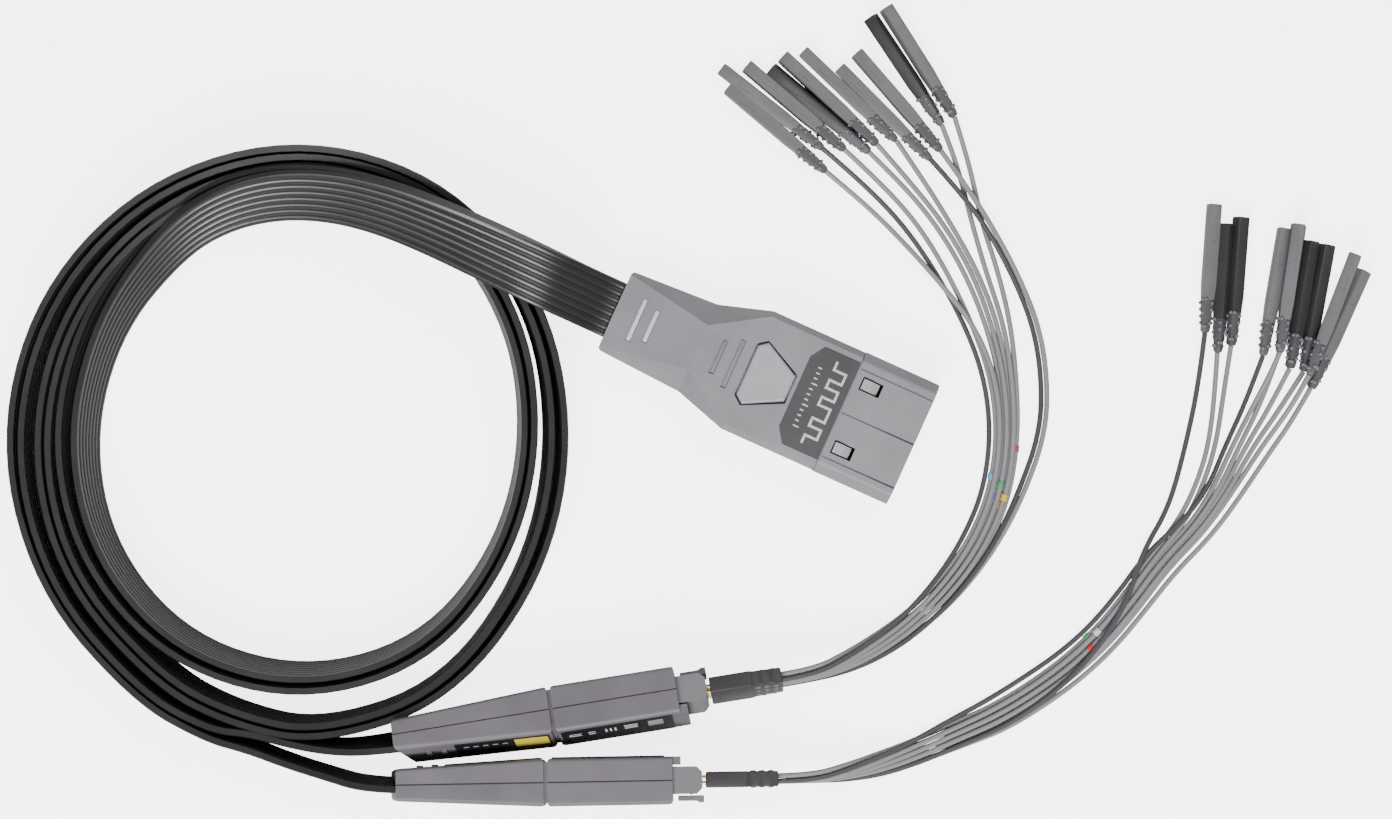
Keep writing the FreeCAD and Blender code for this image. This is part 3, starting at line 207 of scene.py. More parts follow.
# %% A metal finish
def metal(name, colour, rough, streak):
    """Plated or rolled metal: fine streaks vary how sharply it reflects."""
    made = bpy.data.materials.new(name)
    made.use_nodes = True
    nodes, links = made.node_tree.nodes, made.node_tree.links
    shader = nodes["Principled BSDF"]
    shader.inputs["Metallic"].default_value = 1.0
    shader.inputs["Base Color"].default_value = (*colour, 1)
    place = nodes.new("ShaderNodeTexCoord")
    lines = nodes.new("ShaderNodeTexNoise")
    lines.inputs["Scale"].default_value = streak
    lines.inputs["Detail"].default_value = 3.0
    links.new(place.outputs["Object"], lines.inputs["Vector"])
    shine = nodes.new("ShaderNodeMapRange")
    shine.inputs["To Min"].default_value = rough * 0.6
    shine.inputs["To Max"].default_value = rough * 1.4
    links.new(lines.outputs["Fac"], shine.inputs["Value"])
    links.new(shine.outputs["Result"], shader.inputs["Roughness"])
    return made


GOLD = metal("gold_plate", (0.83, 0.63, 0.30), 0.25, 900.0)
STEEL = metal("plain_steel", (0.62, 0.63, 0.65), 0.32, 1200.0)
print("metals", GOLD.name, STEEL.name)


# %% Put a finish on the CAD pieces that keep their shape
def paint(finish, *names):
    """Give CAD nodes a finish on all their faces."""
    for name in names:
        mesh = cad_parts[name].data
        mesh.materials.clear()
        mesh.materials.append(finish)


paint(HEAD_GREY, "head_top_shell", "head_bottom_shell", "connector_housing")
paint(BUTTON_GREY, "release_button", "latch_lever")
paint(POD_GREY, "pod_a_front_shell", "pod_a_back_shell", "pod_b_front_shell", "pod_b_back_shell")
paint(PLUG_GREY, "plug_a_housing", "plug_b_housing", "plug_a_latch", "plug_b_latch")
paint(BOARD_GREEN, "head_board", "pod_a_board", "pod_b_board")
paint(INSERT_BLACK, "connector_insert", "pod_a_header", "pod_b_header", "cable_clamp")
paint(GOLD, "connector_contacts", "pod_pins", "plug_a_contacts", "plug_b_contacts",
      "socket_contacts_a", "socket_contacts_b")
paint(STEEL, "latch_pin", "return_spring", "head_screws")
paint(LABEL_GREY, "head_label")
paint(LABEL_BLACK, "pod_a_label", "pod_b_label")
paint(BOOT_BLACK, "lead_boot_a", "lead_boot_b")
paint(SOCKET_GREY, "sockets_a", "sockets_b")
print("painted", len([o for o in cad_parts.values() if o.data.materials]))

# %% [markdown]
# ## The leads
#
# Each plug fans out into ten limp leads of about 165 mm. A lead is a smooth tube round a curve, so
# it is a NURBS spline with a round bevel: the points below are its control points, and the spline
# runs smoothly inside their corners. The order and the end-point setting come after the points,
# because Blender clamps them to what the spline has at that moment.

# %% Where the leads run
# these repeat the CAD source's points; they weren't chosen one by one: a separate program worked
# them out from the middle line of each bundle, the places of ten leads in it, and their far ends
ROUTES_A = [
    [(0.00427, -0.072, 0.01105), (0.0121, -0.0707, 0.0108), (0.0198, -0.0675, 0.0083),
     (0.0273, -0.0632, 0.0051), (0.0351, -0.0577, 0.0026), (0.0433, -0.0494, 0.0019),
     (0.0504, -0.0392, 0.0018), (0.0553, -0.0271, 0.0018), (0.0571, -0.013, 0.0018),
     (0.0557, 0.0006, 0.0018), (0.0504, 0.013, 0.0021), (0.0405, 0.0251, 0.002),
     (0.0295, 0.037, 0.00065), (0.0216, 0.0442, 0.00065), (0.015, 0.0496, 0.0016)],
    [(0.00421, -0.0716, 0.0123), (0.0121, -0.0703, 0.012), (0.0195, -0.0667, 0.0093),
     (0.0267, -0.0622, 0.0057), (0.0343, -0.0566, 0.0026), (0.0418, -0.0481, 0.0016),
     (0.0483, -0.0381, 0.00065), (0.053, -0.0267, 0.00065), (0.0547, -0.013, 0.00065),
     (0.053, 0.0006, 0.00065), (0.0482, 0.0132, 0.00065), (0.0414, 0.0256, 0.00065),
     (0.0335, 0.037, 0.00065), (0.0238, 0.047, 0.00065), (0.0142, 0.0551, 0.0016)],
    [(0.00401, -0.07036, 0.0119), (0.0119, -0.0691, 0.0116), (0.0191, -0.0658, 0.0084),
     (0.0265, -0.0617, 0.0045), (0.0343, -0.0566, 0.0012), (0.0425, -0.0487, 0.00065),
     (0.0497, -0.0388, 0.00065), (0.0545, -0.0269, 0.00065), (0.0563, -0.013, 0.00065),
     (0.0546, 0.0006, 0.00065), (0.0501, 0.0132, 0.00065), (0.0441, 0.0256, 0.00065),
     (0.0371, 0.037, 0.00065), (0.0283, 0.0468, 0.00065), (0.0195, 0.0548, 0.0016)],
    [(0.00407, -0.07076, 0.01064), (0.0119, -0.0695, 0.0104), (0.0194, -0.0666, 0.0074),
     (0.0271, -0.0628, 0.0039), (0.0351, -0.0577, 0.0012), (0.0436, -0.0497, 0.00065),
     (0.0511, -0.0395, 0.00065), (0.0562, -0.0272, 0.00065), (0.0579, -0.013, 0.00065),
     (0.0567, 0.0006, 0.00065), (0.0534, 0.0132, 0.00065), (0.0483, 0.0256, 0.00065),
     (0.0414, 0.037, 0.00065), (0.0338, 0.0461, 0.00065), (0.0254, 0.0542, 0.0016)],
    [(0.00434, -0.07241, 0.00979), (0.0122, -0.0711, 0.0095), (0.0201, -0.0683, 0.0073),
     (0.0279, -0.0643, 0.0046), (0.0359, -0.0587, 0.0026), (0.0444, -0.0503, 0.0019),
     (0.0519, -0.0399, 0.0018), (0.057, -0.0274, 0.0018), (0.0588, -0.013, 0.0018),
     (0.0577, 0.0006, 0.0018), (0.0548, 0.0132, 0.00065), (0.0501, 0.0256, 0.00065),
     (0.0434, 0.037, 0.00065), (0.0354, 0.047, 0.00065), (0.0273, 0.0561, 0.0016)],
    [(0.00414, -0.07117, 0.00939), (0.012, -0.0699, 0.0091), (0.0198, -0.0674, 0.0065),
     (0.0277, -0.0638, 0.0034), (0.0359, -0.0587, 0.0012), (0.0447, -0.0506, 0.00065),
     (0.0526, -0.0402, 0.00065), (0.0579, -0.0275, 0.00065), (0.0596, -0.013, 0.00065),
     (0.0586, 0.0006, 0.00065), (0.0563, 0.0132, 0.00065), (0.0515, 0.0256, 0.00065),
     (0.0451, 0.037, 0.00065), (0.0385, 0.0475, 0.00065), (0.0319, 0.057, 0.0016)],
    [(0.00447, -0.07321, 0.00728), (0.0123, -0.0719, 0.007), (0.0208, -0.0699, 0.0054),
     (0.0291, -0.0664, 0.0035), (0.0375, -0.0608, 0.0026), (0.0466, -0.0522, 0.0019),
     (0.0547, -0.0413, 0.0018), (0.0612, -0.0281, 0.00065), (0.0666, -0.013, 0.00065),
     (0.0669, 0.0006, 0.00065), (0.0647, 0.0132, 0.00065), (0.0595, 0.0256, 0.00065),
     (0.053, 0.037, 0.0021), (0.0461, 0.0458, 0.0021), (0.0401, 0.0525, 0.0016)],
    [(0.00427, -0.07197, 0.00688), (0.0121, -0.0707, 0.0066), (0.0204, -0.069, 0.0045),
     (0.0289, -0.0659, 0.0023), (0.0375, -0.0608, 0.0012), (0.0469, -0.0525, 0.00065),
     (0.0554, -0.0417, 0.00065), (0.0626, -0.0284, 0.00065), (0.068, -0.013, 0.00065),
     (0.0683, 0.0006, 0.00065), (0.0661, 0.0132, 0.00065), (0.0609, 0.0256, 0.00065),
     (0.0545, 0.037, 0.0021), (0.0485, 0.0463, 0.0022), (0.0426, 0.0546, 0.0016)],
    [(0.0044, -0.07281, 0.00854), (0.0123, -0.0715, 0.0082), (0.0205, -0.0691, 0.0064),
     (0.0285, -0.0653, 0.0041), (0.0367, -0.0597, 0.0026), (0.0455, -0.0513, 0.0019),
     (0.0533, -0.0406, 0.0018), (0.0586, -0.0277, 0.0018), (0.0604, -0.013, 0.0018),
     (0.0597, 0.0006, 0.0015), (0.0577, 0.0132, 0.00065), (0.0535, 0.0256, 0.00065),
     (0.0502, 0.037, 0.00065), (0.048, 0.0458, 0.00065), (0.0457, 0.0537, 0.0009),
     (0.0428, 0.0608, 0.0016)],
    [(0.0042, -0.07157, 0.00813), (0.0121, -0.0703, 0.0078), (0.0201, -0.0682, 0.0055),
     (0.0283, -0.0649, 0.0029), (0.0367, -0.0597, 0.0012), (0.0458, -0.0515, 0.00065),
     (0.054, -0.041, 0.00065), (0.0594, -0.0278, 0.00065), (0.0613, -0.013, 0.00065),
     (0.0608, 0.0006, 0.00065), (0.0594, 0.0132, 0.00065), (0.0564, 0.0256, 0.00065),
     (0.0526, 0.037, 0.00065), (0.0507, 0.0461, 0.00065), (0.0485, 0.0546, 0.0009),
     (0.0459, 0.0627, 0.0016)],
]
ROUTES_B = [
    [(0.00331, -0.09638, 0.00629), (0.0114, -0.0962, 0.0061), (0.02, -0.0962, 0.004),
     (0.0287, -0.095, 0.003), (0.0375, -0.0922, 0.0026), (0.0469, -0.0884, 0.0019),
     (0.0572, -0.0841, 0.0018), (0.0667, -0.0779, 0.0025), (0.0751, -0.0706, 0.0031),
     (0.0819, -0.0623, 0.0032), (0.0874, -0.0529, 0.0032), (0.0911, -0.0414, 0.0026),
     (0.0974, -0.0314, 0.00065), (0.1012, -0.0177, 0.00065), (0.1047, -0.0015, 0.00065),
     (0.106, 0.0108, 0.0016)],
    [(0.00326, -0.09448, 0.01139), (0.0114, -0.0943, 0.0111), (0.0194, -0.0924, 0.008),
     (0.0274, -0.09, 0.0044), (0.0357, -0.0873, 0.0013), (0.0447, -0.0834, 0.00065),
     (0.0545, -0.0792, 0.00065), (0.0639, -0.0736, 0.00065), (0.0725, -0.0673, 0.00065),
     (0.0799, -0.0604, 0.00065), (0.0866, -0.0523, 0.00065), (0.0933, -0.0428, 0.00065),
     (0.1004, -0.0334, 0.00065), (0.1046, -0.0244, 0.00065), (0.1071, -0.0158, 0.00065),
     (0.1085, -0.0044, 0.00065), (0.109, 0.0061, 0.0016)],
    [(0.0033, -0.09594, 0.01023), (0.0114, -0.0958, 0.01), (0.0197, -0.0942, 0.0075),
     (0.0278, -0.0917, 0.0049), (0.0362, -0.0885, 0.0026), (0.0452, -0.0844, 0.0019),
     (0.0549, -0.0799, 0.0018), (0.0643, -0.0743, 0.0018), (0.073, -0.0679, 0.0018),
     (0.0805, -0.0609, 0.0018), (0.0872, -0.0527, 0.0018), (0.094, -0.0433, 0.0018),
     (0.1017, -0.0343, 0.00065), (0.106, -0.0251, 0.00065), (0.1089, -0.0158, 0.00065),
     (0.1107, -0.0035, 0.00065), (0.1123, 0.0077, 0.0016)],
    [(0.00329, -0.09579, 0.01154), (0.0114, -0.0956, 0.0112), (0.0196, -0.0935, 0.0086),
     (0.0275, -0.0906, 0.0056), (0.0357, -0.0873, 0.0026), (0.0443, -0.0825, 0.0016),
     (0.0537, -0.0776, 0.00065), (0.0628, -0.0719, 0.00065), (0.0714, -0.066, 0.00065),
     (0.0788, -0.0594, 0.00065), (0.0855, -0.0514, 0.00065), (0.0921, -0.042, 0.0015),
     (0.1012, -0.0339, 0.0023), (0.1071, -0.0257, 0.002), (0.1111, -0.0163, 0.00065),
     (0.1161, -0.0056, 0.00065), (0.12, 0.0054, 0.0016)],
    [(0.00327, -0.09462, 0.01008), (0.0114, -0.0945, 0.0098), (0.0195, -0.0931, 0.0068),
     (0.0277, -0.0911, 0.0038), (0.0362, -0.0885, 0.0013), (0.0453, -0.0847, 0.00065),
     (0.0553, -0.0806, 0.00065), (0.0647, -0.0749, 0.00065), (0.0735, -0.0686, 0.00065),
     (0.081, -0.0615, 0.00065), (0.0879, -0.0532, 0.00065), (0.0947, -0.0438, 0.00065),
     (0.1028, -0.035, 0.00065), (0.1083, -0.0264, 0.00065), (0.1128, -0.0163, 0.00065),
     (0.118, -0.0061, 0.0015), (0.1211, 0.0004, 0.0039), (0.1235, 0.0061, 0.0048)],
    [(0.0033, -0.09609, 0.00891), (0.0114, -0.0959, 0.0087), (0.0198, -0.0948, 0.0063),
     (0.0281, -0.0928, 0.0043), (0.0366, -0.0898, 0.0026), (0.0457, -0.0857, 0.0019),
     (0.0557, -0.0813, 0.0018), (0.0652, -0.0756, 0.0018), (0.074, -0.0692, 0.0018),
     (0.0816, -0.062, 0.0018), (0.0885, -0.0537, 0.0018), (0.0954, -0.0442, 0.0018),
     (0.1036, -0.0356, 0.0016), (0.1094, -0.0269, 0.0014), (0.1145, -0.0163, 0.00065),
     (0.12, -0.0054, 0.00065), (0.1239, 0.0061, 0.0016)],
    [(0.00327, -0.09477, 0.00877), (0.0114, -0.0946, 0.0085), (0.0196, -0.0937, 0.0057),
     (0.028, -0.0922, 0.0031), (0.0366, -0.0898, 0.0013), (0.0459, -0.0861, 0.00065),
     (0.056, -0.082, 0.00065), (0.0656, -0.0763, 0.00065), (0.0745, -0.0698, 0.00065),
     (0.0822, -0.0626, 0.00065), (0.0892, -0.0542, 0.00065), (0.0961, -0.0447, 0.00065),
     (0.1044, -0.0361, 0.00065), (0.1104, -0.0274, 0.00065), (0.1161, -0.0163, 0.00065),
     (0.1219, -0.0068, 0.00065), (0.1264, 0.0023, 0.0016)],
    [(0.0033, -0.09624, 0.0076), (0.0114, -0.0961, 0.0074), (0.0199, -0.0955, 0.0052),
     (0.0284, -0.0939, 0.0036), (0.0371, -0.091, 0.0026), (0.0463, -0.087, 0.0019),
     (0.0564, -0.0827, 0.0018), (0.0661, -0.0769, 0.0018), (0.075, -0.0704, 0.0018),
     (0.0828, -0.0631, 0.0018), (0.0898, -0.0546, 0.0018), (0.0968, -0.0452, 0.0018),
     (0.1051, -0.0366, 0.0016), (0.1113, -0.0279, 0.0013), (0.1178, -0.0165, 0.00065),
     (0.1242, -0.0075, 0.00065), (0.1297, 0.0015, 0.0016)],
    [(0.00327, -0.09492, 0.00745), (0.0114, -0.0948, 0.0072), (0.0197, -0.0944, 0.0045),
     (0.0283, -0.0933, 0.0025), (0.0371, -0.091, 0.0013), (0.0465, -0.0874, 0.00065),
     (0.0568, -0.0834, 0.00065), (0.0665, -0.0776, 0.00065), (0.0755, -0.071, 0.00065),
     (0.0834, -0.0637, 0.00065), (0.0905, -0.0551, 0.00065), (0.0975, -0.0457, 0.00065),
     (0.1059, -0.0371, 0.00065), (0.1122, -0.0284, 0.00065), (0.1197, -0.0168, 0.00065),
     (0.1238, -0.0111, 0.0016), (0.1273, -0.0054, 0.0039), (0.1304, 0.0006, 0.0048)],
    [(0.00328, -0.09507, 0.00614), (0.0114, -0.0949, 0.0059), (0.0198, -0.095, 0.0034),
     (0.0286, -0.0944, 0.0018), (0.0375, -0.0922, 0.0013), (0.0471, -0.0887, 0.00065),
     (0.0576, -0.0848, 0.00065), (0.0674, -0.0789, 0.00065), (0.0766, -0.0722, 0.00065),
     (0.0845, -0.0648, 0.00065), (0.0917, -0.0561, 0.00065), (0.0991, -0.0467, 0.00065),
     (0.1075, -0.0382, 0.00065), (0.1141, -0.0294, 0.00065), (0.1219, -0.0177, 0.00065),
     (0.1271, -0.0104, 0.00065), (0.1314, -0.0025, 0.0016)],
]

print("leads", len(ROUTES_A), "and", len(ROUTES_B))


# %% One spline as a curve object
def spline_object(name, points, resolution):
    """A curve object whose one open spline takes the points as its control points."""
    curve = bpy.data.curves.new(name, "CURVE")
    curve.dimensions = "3D"
    curve.resolution_u = resolution
    spline = curve.splines.new("NURBS")
    spline.points.add(len(points) - 1)
    for point, spot in zip(spline.points, points):
        point.co = (*spot, 1)
    spline.order_u = 3
    spline.use_endpoint_u = True
    made = bpy.data.objects.new(name, curve)
    bpy.context.collection.objects.link(made)
    return made


def read_line(curve_object):
    """The points of a curve's smooth line, before it has any thickness."""
    line = bpy.data.meshes.new_from_object(curve_object)
    spots = [v.co.copy() for v in line.vertices]
    bpy.data.meshes.remove(line)
    return spots


# %% Make the twenty leads
LEAD_WIDE = 1.3 * MM
DARK_LEADS = {"a": (2, 7), "b": (1, 4)}
lead_pieces, lead_lines = {}, {}
for tag, routes in (("a", ROUTES_A), ("b", ROUTES_B)):
    for number, route in enumerate(routes, start=1):
        piece = spline_object(f"lead_wire_{tag}{number}", route, 8)
        lead_lines[tag, number] = read_line(piece)
        piece.data.bevel_depth = LEAD_WIDE / 2
        piece.data.bevel_resolution = 2
        piece.data.use_fill_caps = True
        dark = number in DARK_LEADS[tag]
        piece.data.materials.append(LEAD_DARK if dark else LEAD_GREY)
        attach(piece, f"plug_{tag}")
        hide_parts(f"lead_{tag}{number}")
        lead_pieces[tag, number] = piece
print("lead wires", len(lead_pieces))

# %% [markdown]
# ## The ribbon cables
#
# Two flat cables of eight cores lie side by side. They leave the pods standing on edge, go round
# two and a half times in a loose coil, then rise over the coil and turn flat before the head. Each
# is a ribbed outline carried along a spline. The coil's points are given as a direction from its
# middle and a distance, which shows how it winds inward; the tilt at each point stands the outline
# on edge or lays it flat.

# %% The ribbed outline of a flat cable
CORES = 8
CORE_PITCH = 14.0 / CORES * MM
RIBBON_THICK = 1.75 * MM


def ribbon_outline():
    """A closed curve: eight round cores joined by thin webs, standing along Y."""
    curve = bpy.data.curves.new("ribbon_outline", "CURVE")
    curve.dimensions = "2D"
    spots = []
    for side in (1, -1):
        for core in range(CORES):
            middle = side * ((core - (CORES - 1) / 2) * CORE_PITCH)
            for share in (-0.5, -0.32, 0.0, 0.32):
                bulge = RIBBON_THICK / 2 * (0.62 if share == -0.5 else 0.92 if share else 1.0)
                spots.append((side * bulge, middle + side * share * CORE_PITCH))
    spline = curve.splines.new("POLY")
    spline.points.add(len(spots) - 1)
    for point, (across, up) in zip(spline.points, spots):
        point.co = (across, up, 0, 1)
    spline.use_cyclic_u = True
    made = bpy.data.objects.new("ribbon_outline", curve)
    bpy.context.collection.objects.link(made)
    return made


outline = ribbon_outline()
print("outline points", len(outline.data.splines[0].points))

# %% How each cable is wound
COIL_MIDDLE = Vector((-110.5, -14.7)) * MM
RISE = 7.1 * MM
HALF_STEP = math.radians(15)   # control points lie outside the line they pull
# direction in degrees, distance of cable a, distance of cable b, lean in degrees; millimetres
WINDING = [
    (-107, 69.0, 71.2, 4), (-122, 67.4, 69.5, 6), (-150, 65.4, 67.6, 8), (-180, 64.3, 66.9, 9),
    (-210, 64.6, 67.2, 7), (-240, 65.6, 68.0, 4), (-270, 66.8, 68.8, 3), (-300, 65.8, 67.9, 4),
    (-330, 61.7, 64.3, 7), (-360, 58.6, 61.8, 10), (-390, 60.4, 63.4, 9), (-420, 66.0, 68.4, 6),
    (-446, 66.8, 69.0, 5), (-463, 64.0, 66.3, 5), (-480, 61.9, 64.2, 6), (-510, 59.7, 62.0, 7),
    (-540, 58.1, 60.4, 7), (-570, 58.7, 61.0, 6), (-600, 60.4, 62.6, 4), (-630, 62.5, 64.7, 4),
    (-660, 61.0, 63.3, 5), (-690, 55.8, 58.3, 7), (-720, 52.4, 54.7, 8), (-750, 52.6, 55.0, 9),
    (-780, 55.4, 58.0, 11), (-810, 55.6, 58.4, 12), (-840, 54.7, 57.6, 11), (-870, 52.6, 55.9, 12),
    (-900, 51.0, 54.8, 14), (-930, 51.6, 55.2, 18),
]
# the start of each cable inside its pod, millimetres
FROM_POD = {
    "a": [(-83.4, -86.0, 9.0, 12), (-92.5, -87.5, 8.6, 9), (-101.5, -88.0, 8.0, 6),
          (-111.5, -86.7, 7.4, 4), (-121.5, -83.9, 7.1, 4)],
    "b": [(-85.5, -97.0, 8.7, 4), (-94.5, -96.9, 8.3, 4), (-103.5, -94.3, 7.7, 3),
          (-113.0, -91.4, 7.2, 3), (-122.5, -87.7, 7.1, 4)],
}
# the last stretch, over the coil to the head: middle of the pair, height, lean, sideways room
TO_HEAD = [
    (-142.5, 32.5, 8.2, 30, 1.6), (-130.5, 40.4, 9.8, 42, 1.3), (-117.0, 43.9, 11.6, 50, 1.1),
    (-103.5, 43.6, 13.2, 53, 1.0), (-90.5, 40.5, 14.8, 56, 0.95), (-77.5, 35.4, 15.8, 62, 0.92),
    (-65.0, 29.6, 16.2, 72, 0.9), (-52.5, 23.8, 16.2, 84, 0.9), (-44.3, 20.0, 11.4, 90, 0.9),
    (-36.2, 16.35, 6.0, 90, 0.9), (-27.5, 12.45, 6.0, 90, 0.9),
]
print("stations", len(WINDING) + len(TO_HEAD) + 5, "on each cable")


# %% The control points of one cable
def cable_points(tag):
    """Points and leans of one cable, pod first."""
    points = [(Vector(spot[:3]) * MM, spot[3]) for spot in FROM_POD[tag]]
    for turn, near, far, lean in WINDING:
        reach = (near if tag == "a" else far) / math.cos(HALF_STEP) * MM
        way = math.radians(turn)
        spot = COIL_MIDDLE + Vector((math.cos(way), math.sin(way))) * reach
        points.append((Vector((*spot, RISE)), lean))
    for index, (x, y, high, lean, room) in enumerate(TO_HEAD):
        ahead = TO_HEAD[min(index + 1, len(TO_HEAD) - 1)]
        behind = TO_HEAD[max(index - 1, 0)]
        along = Vector((ahead[0] - behind[0], ahead[1] - behind[1], 0)).normalized()
        outward = Vector((-along.y, along.x, 0))
        flat = math.radians(lean)
        stack = outward * math.cos(flat) - Vector((0, 0, 1)) * math.sin(flat)
        side = room if tag == "b" else -room
        points.append((Vector((x, y, high)) * MM + stack * side * MM, lean))
    return points


# %% Carry the outline along each cable
for tag in ("a", "b"):
    stations = cable_points(tag)
    guide = spline_object(f"ribbon_cable_{tag}", [tuple(spot) for spot, lean in stations], 7)
    line = read_line(guide)
    guide.data.twist_mode = "Z_UP"
    for point, (spot, lean) in zip(guide.data.splines[0].points, stations):
        point.tilt = math.radians(-lean)
    guide.data.bevel_mode = "OBJECT"
    guide.data.bevel_object = outline
    guide.data.use_fill_caps = True
    take(guide)
    bpy.ops.object.convert(target="MESH")
    ribbon = bpy.context.object
    ribbon.name = f"ribbon_cable_{tag}"
    ribbon.data.materials.clear()
    ribbon.data.materials.append(RIBBON_BLACK)
    bpy.ops.object.shade_smooth_by_angle(angle=math.radians(50))
    long = sum((b - a).length for a, b in zip(line, line[1:]))
    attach(ribbon, "set")
    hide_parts(f"ribbon_tail_{tag}", "ribbon_coil", "ribbon_head_run")
    print("ribbon", tag, "is", round(long, 3), "m long")
bpy.data.objects.remove(outline)

# %% [markdown]
# ## Pin sockets
#
# A socket is a long square barrel, open at its tip, with a small latch window on one face and a
# tapered relief of soft bumps at its tail. One is modelled from a cube: the tip is inset and pushed
# in for the bore, the tail is extruded and scaled in steps, and a bevel softens its edges. Copies
# are then laid on the table, each rolled a little differently, as limp leads leave them.

# %% Helpers for modelling in edit mode
def choose(obj, test):
    """Select the faces whose middle and normal pass a test."""
    work = bmesh.from_edit_mesh(obj.data)
    for face in work.faces:
        face.select = False
    for item in (*work.verts, *work.edges):
        item.select = False
    for face in work.faces:
        if test(face.calc_center_median(), face.normal):
            face.select = True
    work.select_flush(True)
    bmesh.update_edit_mesh(obj.data)


def block(name, low, high):
    """A box between two corners, with its place in its mesh."""
    deselect()
    low, high = Vector(low), Vector(high)
    bpy.ops.mesh.primitive_cube_add(size=1, location=(low + high) / 2)
    made = bpy.context.object
    made.name = name
    made.scale = high - low
    bpy.ops.object.transform_apply(location=True, rotation=True, scale=True)
    return made


def soften(obj, width, segments=2, angle=35):
    """Round the sharp edges and smooth the shading."""
    take(obj)
    made = obj.modifiers.new("soft_edges", "BEVEL")
    made.width = width
    made.segments = segments
    made.limit_method = "ANGLE"
    made.angle_limit = math.radians(angle)
    bpy.ops.object.modifier_apply(modifier=made.name)
    bpy.ops.object.shade_smooth_by_angle(angle=math.radians(40))
    return obj


# %% One socket, lying along X from its tail at the origin
SOCKET_SIDE, RELIEF_LONG, BARREL_LONG = 3.1 * MM, 12.0 * MM, 19.0 * MM
half = SOCKET_SIDE / 2
socket = block("pin_socket", (RELIEF_LONG, -half, -half), (RELIEF_LONG + BARREL_LONG, half, half))
bpy.ops.object.mode_set(mode="EDIT")
bpy.ops.mesh.select_mode(type="FACE")
tip = RELIEF_LONG + BARREL_LONG
choose(socket, lambda spot, way: way.x > 0.9)
bpy.ops.mesh.inset(thickness=0.72 * MM)
bpy.ops.mesh.extrude_region_move(TRANSFORM_OT_translate={"value": (-6 * MM, 0, 0)})
# the tail tapers gently, then steps down in rings that are wide and narrow by turns
choose(socket, lambda spot, way: way.x < -0.9 and spot.x < RELIEF_LONG + 0.1 * MM)
size_before = 1.0
RELIEF_STEPS = [(4.0, 0.88), (1.2, 0.82), (1.0, 0.86), (1.2, 0.72), (1.0, 0.78), (1.2, 0.62),
                (1.0, 0.68), (1.4, 0.52)]   # length, share of the barrel's side
for long, share in RELIEF_STEPS:
    bpy.ops.mesh.extrude_region_move(TRANSFORM_OT_translate={"value": (-long * MM, 0, 0)})
    grown = share / size_before
    bpy.ops.transform.resize(value=(1, grown, grown), center_override=(0, 0, 0))
    size_before = share
bpy.ops.object.mode_set(mode="OBJECT")
soften(socket, 0.3 * MM)
print("socket has", len(socket.data.polygons), "faces")

# %% The bumps of the relief
bumps = []
for across, up in ((0, 1), (1, 0), (0, -1), (-1, 0)):
    for row in range(5):
        along = (0.8 + row * 1.6) * MM
        reach = half * (0.60 + 0.075 * row)
        for lane in (-0.55, 0.55):
            deselect()
            spot = Vector((along + (0.8 * MM if lane > 0 else 0), across * reach, up * reach))
            spot += Vector((0, up, across)) * lane * reach
            bpy.ops.mesh.primitive_uv_sphere_add(segments=8, ring_count=5, radius=0.5 * MM, location=spot)
            bump = bpy.context.object
            bpy.ops.object.transform_apply(location=True, rotation=True, scale=True)
            bpy.ops.object.shade_smooth()
            bumps.append(bump)
SOCKET_LIGHT = moulded("socket_light", (0.15, 0.145, 0.155), 0.45, depth=0.04)
RELIEF_GREY = moulded("socket_relief", (0.085, 0.080, 0.088), 0.5, depth=0.03)
RELIEF_BEAD = moulded("socket_beads", (0.17, 0.163, 0.175), 0.45, depth=0.02)
socket.data.materials.append(SOCKET_LIGHT)
socket.data.materials.append(RELIEF_GREY)
for face in socket.data.polygons:
    face.material_index = 1 if face.center.x < 8.0 * MM else 0
for bump in bumps:
    bump.data.materials.append(RELIEF_BEAD)
take(socket)
for bump in bumps:
    bump.select_set(True)
bpy.ops.object.join()
socket = bpy.context.object
print("with bumps", len(socket.data.polygons), "faces,", len(socket.data.materials), "finishes")

# %% A narrow window on one face shows the metal contact
# the bumps overlap one another, and this exact cut drops about half of them, not always the same
# ones, so sockets differ a little from run to run; cutting before the bumps are joined on should
# keep them all
window = block("socket_window", (tip - 9.0 * MM, -0.55 * MM, half - 0.12 * MM),
               (tip - 5.6 * MM, 0.55 * MM, half + 0.5 * MM))
take(socket)
cut = socket.modifiers.new("window", "BOOLEAN")
cut.object = window
cut.operation = "DIFFERENCE"
cut.solver = "EXACT"
bpy.ops.object.modifier_apply(modifier=cut.name)
bpy.data.objects.remove(window)
print("window cut,", len(socket.data.polygons), "faces")

